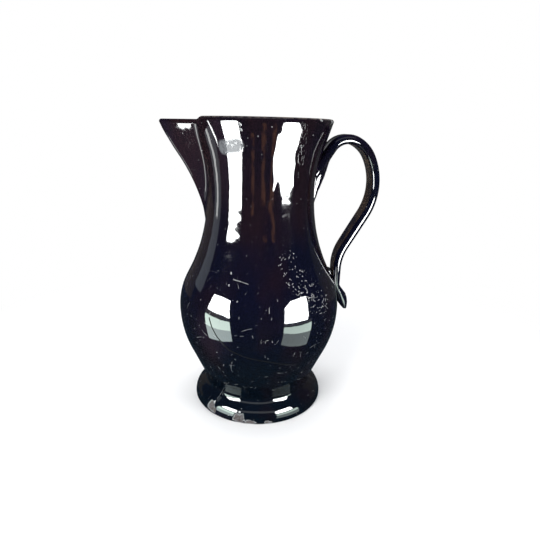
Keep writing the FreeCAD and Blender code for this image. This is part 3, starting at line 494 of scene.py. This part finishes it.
def glazed(finish, place, colour, marks, bare_colour=PIT_PALE):
    """The glossy glaze, and the matte surface that shows where it's marked."""
    wave, dimple = finish.mottle(place, WAVE_SIZE, 2.0), finish.mottle(place, DIMPLE_SIZE, 2.0)
    ripple = wave * WAVE_DEPTH + dimple * DIMPLE_DEPTH - marks * MARK_DEPTH
    bump = finish.node("Bump", {}, {
        "Strength": 1.0, "Distance": BUMP_HEIGHT, "Height": ripple,
    }, "Normal")
    rough = SMOOTHEST + finish.mottle(place, GLOSS_PATCH) * ROUGHER_BY
    glaze = finish.node("BsdfPrincipled", {}, {
        "Base Color": colour, "Roughness": rough, "IOR": GLAZE_IOR, "Normal": bump,
    })
    bare_input = bare_colour if isinstance(bare_colour, Value) else (*bare_colour, 1)
    bare = finish.node("BsdfPrincipled", {}, {
        "Base Color": bare_input, "Roughness": MATTE_ROUGHNESS, "IOR": MATTE_IOR, "Normal": bump,
    })
    return finish.shown(finish.node("MixShader", {}, {0: marks.at_most(1.0), 1: glaze, 2: bare}))


# lines of marks on the wall, each point given as degrees round the jug and height
RUN_BROWN = (0.042, 0.019, 0.014)
BROWN_RUNS = [
    ([(-12, 190), (-13, 144)], 1.5), ([(-3.5, 195), (-2.5, 150)], 2.0),
    ([(4.6, 196), (5.5, 152), (7.5, 128)], 2.0), ([(5.5, 152), (0.5, 142), (-0.5, 128)], 2.0),
]
CRACK = [
    (-38.7, 78.9), (-36.1, 72.8), (-32.5, 67.4), (-24.5, 59.4),
    (-13.8, 55.4), (3.1, 51.5), (23.3, 45.1),
]
CRACK_REACH, CRACK_DARK = 0.46, (0.002, 0.002, 0.002)
SILVER_RUB, SILVER_REACH = [(20.0, 112.0), (27.0, 102.0), (36.0, 93.0), (44.0, 86.0)], 10.0
RUB_SCRATCHES = (3.0, 1.4, 0.12, 0.45, 7.0)
FLECKS_APART, FLECK_SIZE = 1.5, 0.42
NECK_RUB, NECK_RUB_REACH = [(26.0, 194.0), (33.0, 176.0)], 4.5
# painted reflection: a matte grey patch high on the neck's left, where the mirrored panel shows a
# grey break
PAINTED_REFLECTION_BREAK, PAINTED_BREAK_REACH = [(-38.0, 182.5), (-24.0, 184.0)], 5.0
PAINTED_BREAK_GREY = (0.17, 0.18, 0.19)
# the lip: pale clay where the glaze wore thin, and partly a painted highlight along the lip's edge
RIM_CLAY_AND_LIP_HIGHLIGHT = (0.24, 0.19, 0.15)
RIM_WEAR_AND_HIGHLIGHT_FROM, RIM_WEAR_AND_HIGHLIGHT_FULL, RIM_WEAR_AND_HIGHLIGHT = 198.9, 199.7, 0.35
SINGLE_MARKS = [
    ([(-25.3, 103.6), (-19.0, 102.9)], 0.28), ([(-18.2, 102.7), (-13.4, 101.8)], 0.20),
    ([(-28.3, 107.1), (-28.0, 106.6)], 0.55), ([(-28.2, 100.2), (-28.0, 99.8)], 0.5),
    ([(-20.0, 91.5), (-19.7, 91.9)], 0.4),
    ([(-21.5, 195.8), (-20.6, 195.2)], 0.9), ([(-20.6, 192.8), (-20.3, 192.4)], 0.8),
    ([(43.0, 199.4), (44.6, 199.0)], 1.0), ([(62.8, 198.9), (64.4, 198.2)], 1.1),
]

body_finish = Finish("black_lead_glaze_on_wall")
place, flat, height, colour, marks = lead_glaze(body_finish, WALL_WARMS)

runs = None
for line, reach in BROWN_RUNS:
    run = body_finish.near(flat, line, reach)
    runs = run if runs is None else runs.at_least(run)
edge_of_run = body_finish.mottle(place, 3.0, 3.0, (1, 1, 0.2)).from_to(0.40, 0.58)
colour = body_finish.coloured(runs * edge_of_run * 0.9, colour, RUN_BROWN)

fleck = body_finish.spots(flat, FLECKS_APART, 4.0)
fleck_draw = body_finish.node("SeparateColor", {}, {0: fleck.other("Color")})
crowd = body_finish.mottle(place, 7.0, 3.0).from_to(0.36, 0.56)
flecks = (fleck * FLECKS_APART < fleck_draw * FLECK_SIZE) * (crowd > fleck_draw.other(1))
rubs = body_finish.strokes(flat, *RUB_SCRATCHES)
rubbed = body_finish.near(flat, SILVER_RUB, SILVER_REACH) * flecks.at_least(rubs)
streaks = body_finish.mottle(place, 0.9, 3.0, (1, 1, 0.10)) > 0.60
neck_rub = body_finish.near(flat, NECK_RUB, NECK_RUB_REACH) * streaks
patchy = body_finish.mottle(place, 3.0).from_to(0.25, 0.5)
# painted reflection: the grey break across the mirrored panel on the neck
painted_break = body_finish.near(flat, PAINTED_REFLECTION_BREAK, PAINTED_BREAK_REACH) * patchy
uneven = body_finish.mottle(place, 2.4).from_to(0.35, 0.6)
# the worn lip, partly a painted highlight along its edge
rim_wear_and_highlight = height.from_to(RIM_WEAR_AND_HIGHLIGHT_FROM, RIM_WEAR_AND_HIGHLIGHT_FULL) * uneven
crack = body_finish.near(flat, CRACK, CRACK_REACH)
# the marks here include the painted reflection break and the lip's partly painted highlight
for mark in (rubbed * 0.9, neck_rub * 0.4, painted_break * 0.9, rim_wear_and_highlight * RIM_WEAR_AND_HIGHLIGHT, crack):
    marks = marks.at_least(mark)
for spot, reach in SINGLE_MARKS:
    marks = marks.at_least(body_finish.near(flat, spot, reach))

# the pale of the rubs and the worn lip; the lip's clay colour is partly a painted highlight
pale = body_finish.coloured(rim_wear_and_highlight, body_finish.coloured(rubbed, PIT_PALE, RUB_PALE), RIM_CLAY_AND_LIP_HIGHLIGHT)
pale = body_finish.coloured((crack * 8.0).at_most(1.0), pale, CRACK_DARK)
# painted reflection: the grey of the break across the mirrored panel on the neck
pale = body_finish.coloured(body_finish.near(flat, PAINTED_REFLECTION_BREAK, PAINTED_BREAK_REACH + 1), pale, PAINTED_BREAK_GREY)
wall.data.materials.append(glazed(body_finish, place, colour, marks, pale))
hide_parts("thrown_body", "spout", "spout_seam_near", "spout_seam_far")
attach(wall, "root")


# Spreading foot: a ring thrown on its own, luted on with slip and turned, so that its
# stem carries on the body's line down to a crease, from where it flares to a rounded
# rim that knocks have chipped down to the clay.
FOOT_STEM = [(22.55, 41.62), (19.5, 40.4), (16.7, 39.35), (14.6, 38.85), (13.85, 38.8)]
FOOT_COVE = (45.86, 17.46, 8.0)
FOOT_LIP = (38.63, 1.7, 8.87)
FOOT_CREASE, FOOT_FLARE = math.radians(28), math.radians(52)
FOOT_HOLLOW = [(41.5, 0.5), (39.6, 3.0), (37.4, 7.0), (35.6, 12.0), (34.8, 17.0), (34.0, 21.6)]
FOOT_TURNS = spread(0, 2 * math.pi, math.radians(0.75))[:-1]
FOOT_REST = [(44.0, 0.0), (42.0, 0.0)]
# chips: degrees round the foot, height, half width, half height and depth
FOOT_CHIPS = [
    (-50, 5.2, 3.1, 3.0, 1.0), (-46, 3.4, 2.0, 1.8, 0.7), (-21, 3.2, 4.0, 3.2, 1.3),
    (-11, 1.4, 3.6, 1.5, 0.8), (4, 1.3, 2.4, 1.2, 0.5),
]
CHIP_REACH, CHIPPED_FROM = 47.0, 43.0
CHIP_GRAIN, CHIP_RAGGED, CHIP_LUMPY = 1.6, 0.45, 0.35
CUT_INTO, CUT_DOWN, CUT_BARE = 0.85, 0.5, 0.35
OUT_OF_ROUND = 0.0008
CHIP_EDGE, CHIP_CLAY, CHIP_HOLLOW = (0.42, 0.44, 0.44), (0.20, 0.20, 0.21), (0.075, 0.052, 0.040)
BARE_FROM, EDGE_UP_TO = 0.12, 0.5


def arc(centre_r, centre_z, radius, start, end, count):
    """Points of an arc in the half section, radius and height."""
    return [
        (centre_r + radius * math.cos(a), centre_z + radius * math.sin(a))
        for a in spread(start, end, abs(end - start) / count)
    ]


lip_r, lip_z, lip_round = FOOT_LIP
base_bend = -math.asin(lip_z / lip_round)
foot_line = [(34.0, 22.0), (37.5, 22.0), (41.25, 22.0), (41.35, 22.5)]
foot_line += [(through(FOOT_STEM[::-1], z), z) for z in spread(22.55, 13.85, 0.8)]
foot_line += arc(*FOOT_COVE, math.pi + FOOT_CREASE, math.pi + FOOT_FLARE, 5)
cone_top, cone_end = foot_line[-1], arc(*FOOT_LIP, FOOT_FLARE, base_bend, 2)[0]
foot_line += [
    tuple(a + (b - a) * i / 10 for a, b in zip(cone_top, cone_end)) for i in range(1, 10)
]
foot_line += arc(*FOOT_LIP, FOOT_FLARE, base_bend + 0.1, 14)
foot_line += [(lip_r + lip_round * math.cos(base_bend) - 0.4, 0.0)] + FOOT_REST + FOOT_HOLLOW


def chipped(r, turn, z):
    """How deep a knock has cut into the foot's rim here."""
    deepest = 0.0
    for place, height, wide, tall, depth in FOOT_CHIPS:
        round_it = math.remainder(turn - math.radians(place), 2 * math.pi) * CHIP_REACH
        ragged = noise.noise(Vector((round_it / CHIP_GRAIN, z / CHIP_GRAIN, place)))
        rough_edge = 1 + ragged * CHIP_RAGGED
        off = math.hypot(round_it / wide, (z - height) / tall) * rough_edge
        grain = 1 + CHIP_LUMPY * noise.noise(Vector((round_it, z, place)))
        deepest = max(deepest, depth * ease(1.0, 0.72, off) * grain)
    return deepest if r > CHIPPED_FROM else 0.0


def turned_ring(line, name):
    """A ring turned round the axis from its closed half section, with its chips marked."""
    rings, bare = [], []
    for r, z in line + line[:1]:
        ring = []
        for t in FOOT_TURNS:
            cut = chipped(r, t, z)
            r_here = r * (1 - OUT_OF_ROUND * (1 + math.sin(3 * t + z / 9))) - cut * CUT_INTO
            z_here = max(z - cut * CUT_DOWN, 0.0)
            ring.append((r_here * math.sin(t), -r_here * math.cos(t), z_here))
            bare.append(min(cut / CUT_BARE, 1.0))
        rings.append(ring)
    made = skin(name, rings)
    made.data.attributes.new("bare_clay", "FLOAT", "POINT").data.foreach_set("value", bare)
    return made


foot = turned_ring(foot_line, "turned_foot")
foot_finish = Finish("black_lead_glaze_on_foot")
place, *_, colour, marks = lead_glaze(foot_finish, FOOT_WARMS, 0.5)
cut = foot_finish.node("Attribute", {"attribute_name": "bare_clay"}, {}, "Fac")
bare = cut > BARE_FROM
grain = foot_finish.mottle(place, 1.1, 4.0).from_to(0.35, 0.65)
clay = foot_finish.coloured(grain, CHIP_HOLLOW, CHIP_CLAY)
clay = foot_finish.coloured(bare * (cut < EDGE_UP_TO), clay, CHIP_EDGE)
clay = foot_finish.coloured(bare, PIT_PALE, clay)
foot.data.materials.append(glazed(foot_finish, place, colour, marks.at_least(bare), clay))
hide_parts("spreading_foot")
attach(foot, "root")


# Slip: the thin ring of liquid clay that the body was set on its foot with. It was
# squeezed out level with both of them and glazed over.
slip_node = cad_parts["foot_slip"]
slip_finish = Finish("black_lead_glaze_on_slip")
place, *_, colour, marks = lead_glaze(slip_finish, FOOT_WARMS)
slip_node.data.materials.clear()
slip_node.data.materials.append(glazed(slip_finish, place, colour, marks))


# Handle: a strap pulled from a lump of clay, set on the neck, bent over and pressed
# on to the belly with the thumb, which left its tail turned out.
INNER_BROWN = (0.050, 0.032, 0.019)
HANDLE_START = complex(33.6, 162.8)
HANDLE_RISE = math.radians(56.4)
ROOT_LENGTH = 23.3
# each bend's radius, and how many degrees it turns
STRAP_BENDS = [(13.3, 81.1), (22.3, 37.6), (41.5, 57.7)]
FALL_LENGTH = 25.2
RETURN_ARC = 33.1
TAIL_TOP = 86.0
# along the strap: its thickness and its width
STRAP_THICK = [(0, 8.0), (23, 7.4), (40, 6.7), (75, 6.15), (120, 6.4), (150, 5.8), (172, 5.6)]
STRAP_WIDE = [(0, 17.6), (20, 17.0), (60, 17.0), (110, 16.2), (150, 15.0), (200, 14.4)]
ROOT_FLARE, STRAP_DISH = 0.10, 0.10
TAIL_OUT = [
    (58.6, 86.0), (59.8, 84.0), (62.0, 81.4), (64.2, 78.7),
    (65.4, 75.6), (65.8, 72.6), (65.5, 70.0), (64.9, 67.6),
]
TAIL_IN = [
    (52.9, 86.0), (53.4, 84.0), (54.0, 81.4), (55.0, 78.7),
    (56.2, 75.4), (57.6, 72.8), (59.6, 70.2), (62.0, 67.6),
]
TAIL_TIP = (64.2, 65.9)
TAIL_WIDE, TAIL_NARROWS, TAIL_DISH = 14.6, 1.8, 0.06
EDGE_ROUND_MOST, FACE_SHRINK = 0.8, 0.94
INNER_FACE_FROM = 0.82


def strap_line():
    """The strap's middle line: places, headings and the run along it."""
    line, heading, place, run = [], HANDLE_RISE, HANDLE_START, 0.0

    def straight(length, step):
        nonlocal place, run
        count = len(spread(0, length, step)) - 1
        for _ in range(count):
            place += length / count * complex(math.cos(heading), math.sin(heading))
            run += length / count
            line.append((place, heading, run))

    def bend(radius, turn, step):
        nonlocal place, run, heading
        count = len(spread(0, radius * abs(turn), step)) - 1
        side = math.copysign(1, turn)
        for _ in range(count):
            half = turn / count / 2
            chord = 2 * radius * math.sin(abs(half))
            place += chord * complex(math.cos(heading + half), math.sin(heading + half))
            heading += turn / count
            run += radius * abs(turn) / count
            line.append((place, heading, run))

    line.append((place, heading, run))
    straight(ROOT_LENGTH, 1.5)
    for radius, degrees in STRAP_BENDS:
        bend(radius, -math.radians(degrees), 1.2)
    straight(FALL_LENGTH, 1.8)
    bend(RETURN_ARC, -math.pi / 2 - heading, 1.5)
    straight(place.imag - TAIL_TOP, 1.5)
    return line


def strap_section(outer, inner, wide, dish):
    """A closed section with round edges, slightly hollow along the middle of its outer face."""
    outer, inner = Vector((outer[0], 0, outer[1])), Vector((inner[0], 0, inner[1]))
    middle, half = (outer + inner) / 2, (outer - inner) / 2
    edge = min(2 * half.length / wide, EDGE_ROUND_MOST)
    face = [(1 - edge) * a for a in spread(1, -1, 0.25)[1:-1]]
    bends = spread(-math.pi / 2, math.pi / 2, math.pi / 18)
    near_edge = [(1 - edge + edge * math.cos(t), math.sin(t)) for t in bends]
    flat_outline = near_edge + [(a, 1) for a in face]
    flat_outline += [(-a, -d) for a, d in flat_outline]
    points = []
    for across, deep in flat_outline:
        hollow = dish * math.exp(-(across * 2.2) ** 2) if deep > 0 else 0.0
        aside = Vector((0, across * wide / 2, 0))
        points.append(middle + half * (FACE_SHRINK * deep - hollow) + aside)
    return points


strap_rings = []
for spot, heading, run in strap_line():
    across = complex(-math.sin(heading), math.cos(heading)) * through(STRAP_THICK, run) / 2
    wide = through(STRAP_WIDE, run) * (1 + ROOT_FLARE * ease(20, 4, run))
    outer, inner = spot + across, spot - across
    strap_rings.append(strap_section(
        (outer.real, outer.imag), (inner.real, inner.imag), wide, STRAP_DISH,
    ))
for outer, inner in list(zip(TAIL_OUT, TAIL_IN))[1:]:
    wide = TAIL_WIDE - TAIL_NARROWS * ease(72, 66, outer[1])
    strap_rings.append(strap_section(outer, inner, wide, TAIL_DISH))
strap_rings.insert(0, [(HANDLE_START.real, 0, HANDLE_START.imag)])
strap_rings.append([(TAIL_TIP[0], 0, TAIL_TIP[1])])
strap = skin("pulled_strap_handle", strap_rings, math.radians(60))
face_in = []
for ring in strap_rings:
    shares = [i / len(ring) for i in range(len(ring))]
    face_in += [float(len(ring) > 1 and (a > INNER_FACE_FROM or a == 0)) for a in shares]
strap.data.attributes.new("inner_face", "FLOAT", "POINT").data.foreach_set("value", face_in)
handle_finish = Finish("black_lead_glaze_on_handle")
place, *_, colour, marks = lead_glaze(handle_finish, HANDLE_WARMS, 0.4)
inner_face = handle_finish.node("Attribute", {"attribute_name": "inner_face"}, {}, "Fac")
thin_glaze = handle_finish.mottle(place, 14.0).from_to(0.3, 0.6) * inner_face
colour = handle_finish.coloured(thin_glaze, colour, INNER_BROWN)
strap.data.materials.append(glazed(handle_finish, place, colour, marks))
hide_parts("handle_strap")
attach(strap, "root")


# Wads: lumps of clay pressed into the crotches between the wall and the handle's two
# ends, and smoothed off roughly with a finger.
# at heights: how far each lump reaches from the axis, and how wide it is
UPPER_WAD = [
    (144.6, 36.6), (149.0, 38.2), (154.5, 40.0), (160.0, 42.2),
    (165.5, 44.1), (171.0, 45.6), (177.0, 47.6),
]
UPPER_WIDE = [(144, 9.0), (160, 14.0), (177, 15.0)]
LOWER_WAD = [(88.0, 52.9), (92.0, 52.9), (96.6, 52.8)]
LOWER_WIDE = [(88, 11.6), (97, 11.6)]
WAD_IN_WALL, WAD_FULLNESS = 1.0, 0.6
LUMP_SIZE, LUMP, GRIT_SIZE, GRIT = 3.1, 0.35, 1.1, 0.40


def wad(name, reaches, widths):
    """A lump with a rough rounded face, and its back in the wall."""
    rings = []
    for z in spread(reaches[0][0], reaches[-1][0], 0.8):
        r, back, wide = through(reaches, z), wall_radius(z) - WAD_IN_WALL, through(widths, z)
        section = []
        for t in spread(-math.pi / 2, math.pi / 2, math.pi / 26):
            bulge = max(math.cos(t), 0.0) ** WAD_FULLNESS
            spot = Vector((r, math.sin(t) * 6, z))
            lumps = noise.noise(spot / LUMP_SIZE) * LUMP
            rough_by = lumps + noise.noise(spot / GRIT_SIZE) * GRIT - 0.12
            reach = back + (r - back) * bulge + min(rough_by, 0)
            section.append((reach, math.sin(t) * wide / 2, z))
        section += [(back - 2, point[1] * 0.9, z) for point in section[::-1]]
        rings.append(section)
    ends = [
        [tuple(sum(point[i] for point in ring) / len(ring) for i in range(3))]
        for ring in (rings[0], rings[-1])
    ]
    return skin(name, [ends[0]] + rings + [ends[1]])


upper_wad = wad("upper_clay_wad", UPPER_WAD, UPPER_WIDE)
lower_wad = wad("lower_clay_wad", LOWER_WAD, LOWER_WIDE)
wad_finish = Finish("black_lead_glaze_on_wads")
place, *_, colour, marks = lead_glaze(wad_finish, WADS_WARM, 0.5)
wad_glaze = glazed(wad_finish, place, colour, marks)
for piece, node in ((upper_wad, "upper_handle_wad"), (lower_wad, "lower_handle_wad")):
    piece.data.materials.append(wad_glaze)
    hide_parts(node)
    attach(piece, "root")


# Mirrored room: what the glaze reflects is a dark room with a tall bright panel, its pale
# sill and its foot on either side of the camera, and a few smaller cards round the jug.
# Only the glaze sees them; they cast no light or shadow on clay and floor.
ROOM_TURN = math.radians(-6.5)
PANEL_AWAY = 150.0
PANEL_TURN = math.radians(54)
# colour, strength on the left and right, corners on the left and right: along a line
# square to the panel's direction, and up
PANELS = [
    ("panel", (0.97, 1.0, 1.0), 34.0, 34.0,
     [(15, 84), (-62, 77), (-55, 139), (-18, 142), (10, 138)],
     [(12, 60), (-66, 63), (-60, 118), (-34, 134), (4, 134), (24, 130)]),
    ("bar", (0.9, 0.95, 1.0), 0.4, 0.4,
     [(20, 82), (-63, 76), (-63, 68), (22, 73)], [(28, 58), (-66, 61), (-67, 52), (28, 50)]),
    ("sill", (0.80, 0.97, 0.88), 9.0, 6.0,
     [(21, 71), (-63, 66), (-66, 28), (22, 34)], [(29, 48), (-66, 50), (-68, 22), (31, 18)]),
    ("low", (0.78, 0.92, 0.90), 4.6, 1.6,
     [(22, 34), (-66, 28), (-68, -12), (22, -8)], [(31, 18), (-68, 22), (-70, -24), (33, -28)]),
]
# colour, strength and corners in the room's own directions
CARDS = [
    ("back_left", (1.0, 0.88, 0.80), 0.1,
     [(-2500, 900, -100), (-560, 900, -100), (-560, 900, 420), (-2500, 900, 420)]),
    ("behind", (0.95, 0.97, 1.0), 0.22,
     [(-220, 899, 0), (20, 899, 0), (20, 899, 420), (-220, 899, 420)]),
    ("back_right", (0.9, 0.95, 1.0), 0.07,
     [(-330, 900, -200), (2600, 900, -200), (2600, 900, 800), (-330, 900, 800)]),
    ("high", (0.9, 0.95, 1.0), 0.5,
     [(-900, -1000, 980), (900, -1000, 980), (900, -800, 1450), (-900, -800, 1450)]),
    ("side", (0.8, 0.9, 1.0), 0.5,
     [(-140, -28, 112), (-140, 18, 112), (-140, 18, 150), (-140, -28, 150)]),
    ("spout", (0.97, 1.0, 1.0), 16.0,
     [(-95, -26.2, 175.5), (-95, -26.2, 170.5), (-95, -37.5, 145.5), (-95, -37.5, 155)]),
    ("valley", (0.97, 1.0, 1.0), 3.5,
     [(-95, -16, 135), (-95, -9, 135), (-95, -9, 168), (-95, -16, 168)]),
]
ROOM_SIZE, ROOM_STRENGTH = 12.0, 0.75
ROOM_HIGH, ROOM_LOW = (0.030, 0.032, 0.070), (0.028, 0.040, 0.055)
ROOM_SHAPES, SHEEN = (0.015, 0.018, 0.03), (0.14, 0.12, 0.19)
SHEEN_SIDE = (-0.84, -0.19, -0.50)

room_turned = bpy.data.objects.new("room_turned", None)
bpy.context.scene.collection.objects.link(room_turned)
room_turned.rotation_euler.z = ROOM_TURN


def only_mirrored(made):
    """Makes a thing of the set show in the glaze alone."""
    made.visible_camera = False
    made.visible_diffuse = False
    made.visible_shadow = False
    made.visible_transmission = False


def card(name, colour, strength, corners):
    """A flat bright card with its corners in millimetres."""
    finish = Finish(name + "_light")
    light = finish.node("Emission", {}, {"Color": (*colour, 1), "Strength": strength})
    mesh = bpy.data.meshes.new(name)
    mesh.from_pydata([Vector(c) * MM for c in corners], [], [tuple(range(len(corners)))])
    made = bpy.data.objects.new(name, mesh)
    bpy.context.scene.collection.objects.link(made)
    made.data.materials.append(finish.shown(light))
    made.parent = room_turned
    only_mirrored(made)


for name, colour, left_strength, right_strength, left_corners, right_corners in PANELS:
    for side, label, strength, corners in (
        (-1, "left_" + name, left_strength, left_corners),
        (1, "right_" + name, right_strength, right_corners),
    ):
        away = Vector((side * math.sin(PANEL_TURN), -math.cos(PANEL_TURN), 0)) * PANEL_AWAY
        along = Vector((side * math.cos(PANEL_TURN), math.sin(PANEL_TURN), 0))
        spots = [away + along * a + Vector((0, 0, z)) for a, z in corners]
        card(label, colour, strength, spots)
for name, colour, strength, corners in CARDS:
    card(name + "_card", colour, strength, corners)

room_finish = Finish("dark_room")
room_place = room_finish.vector("NORMALIZE", room_finish.node("TexCoord", {}, {}, "Object"))
shapes = room_finish.mottle(room_place, 0.45, 3.0, (1, 1, 0.5)).from_to(0.35, 0.75)
room_height = room_finish.node("SeparateXYZ", {}, {0: room_place}, 2)
room_colour = room_finish.coloured(room_height.from_to(0.45, -0.2), ROOM_HIGH, ROOM_LOW)
room_colour = room_finish.coloured(shapes * 0.7, room_colour, ROOM_SHAPES)
sheen = room_finish.vector("DOT_PRODUCT", room_place, SHEEN_SIDE, output="Value")
room_colour = room_finish.coloured(sheen.from_to(0.84, 1.0), room_colour, SHEEN)
room_light = room_finish.node("Emission", {}, {"Color": room_colour, "Strength": ROOM_STRENGTH})
bpy.ops.mesh.primitive_uv_sphere_add(radius=ROOM_SIZE, segments=48, ring_count=24)
room = bpy.context.object
room.name = "dark_room"
room.data.materials.append(room_finish.shown(room_light))
only_mirrored(room)


# Floor: a pale matt floor that keeps the jug's shadow close to it and turns white further
# out, where it meets the white surround.
FLOOR_SIZE, FLOOR_DROP = 6.0, 0.2 * MM
FLOOR_PALE = (0.93, 0.93, 0.93, 1)
SHADOW_FROM, WHITE_FROM = 0.10, 0.32
WHITE = (1, 1, 1, 1)


def sees_white(finish):
    """1 for the rays that see the white ground: straight, mirrored or through glass."""
    straight = finish.node("LightPath", {}, {}, "Is Camera Ray")
    mirrored = finish.node("LightPath", {}, {}, "Is Glossy Ray")
    passing = finish.node("LightPath", {}, {}, "Is Transmission Ray")
    return (straight + mirrored + passing).at_most(1.0)


bpy.ops.mesh.primitive_plane_add(size=FLOOR_SIZE, location=(0, 0, -FLOOR_DROP))
floor = bpy.context.object
floor.name = "pale_floor"
floor.visible_glossy = False
floor_finish = Finish("pale_floor")
here = floor_finish.node("TexCoord", {}, {}, "Object")
away = floor_finish.vector("LENGTH", here, output="Value")
lit = floor_finish.node("BsdfDiffuse", {}, {"Color": FLOOR_PALE})
white = floor_finish.node("Emission", {}, {"Color": WHITE, "Strength": 1.0})
turns_white = sees_white(floor_finish) * away.from_to(SHADOW_FROM, WHITE_FROM)
floor.data.materials.append(floor_finish.shown(
    floor_finish.node("MixShader", {}, {0: turns_white, 1: lit, 2: white}),
))


# Lamps: three soft round lamps light the clay and the floor, and a faint sky fills in.
# The glaze doesn't mirror them, so the bright shapes on it are the room's alone.
LAMPS = [
    ("key_lamp", (-1.2, -1.4, 1.8), 1.2, 42),
    ("fill_lamp", (1.6, -1.0, 1.3), 1.2, 20),
    ("top_lamp", (0.0, 0.5, 2.2), 1.6, 30),
]
JUG_MIDDLE = Vector((0, 0, 0.1))
SKY, SKY_STRENGTH = (0.9, 0.93, 1.0, 1), 0.35

for name, place, across, power in LAMPS:
    data = bpy.data.lights.new(name, "AREA")
    data.shape, data.size, data.energy = "DISK", across, power
    lamp = bpy.data.objects.new(name, data)
    bpy.context.scene.collection.objects.link(lamp)
    lamp.location = place
    lamp.rotation_euler = (JUG_MIDDLE - Vector(place)).to_track_quat("-Z", "Y").to_euler()
    lamp.visible_glossy = False

world = bpy.data.worlds.new("white_surround")
bpy.context.scene.world = world
surround = Finish("white_surround", world)
sky = surround.node("Background", {}, {"Color": SKY, "Strength": SKY_STRENGTH})
white = surround.node("Background", {}, {"Color": WHITE, "Strength": 1.0})
shader = surround.node("MixShader", {}, {0: sees_white(surround), 1: sky, 2: white})
surround.shown(shader, "OutputWorld")
bpy.context.scene.view_settings.view_transform = "Standard"
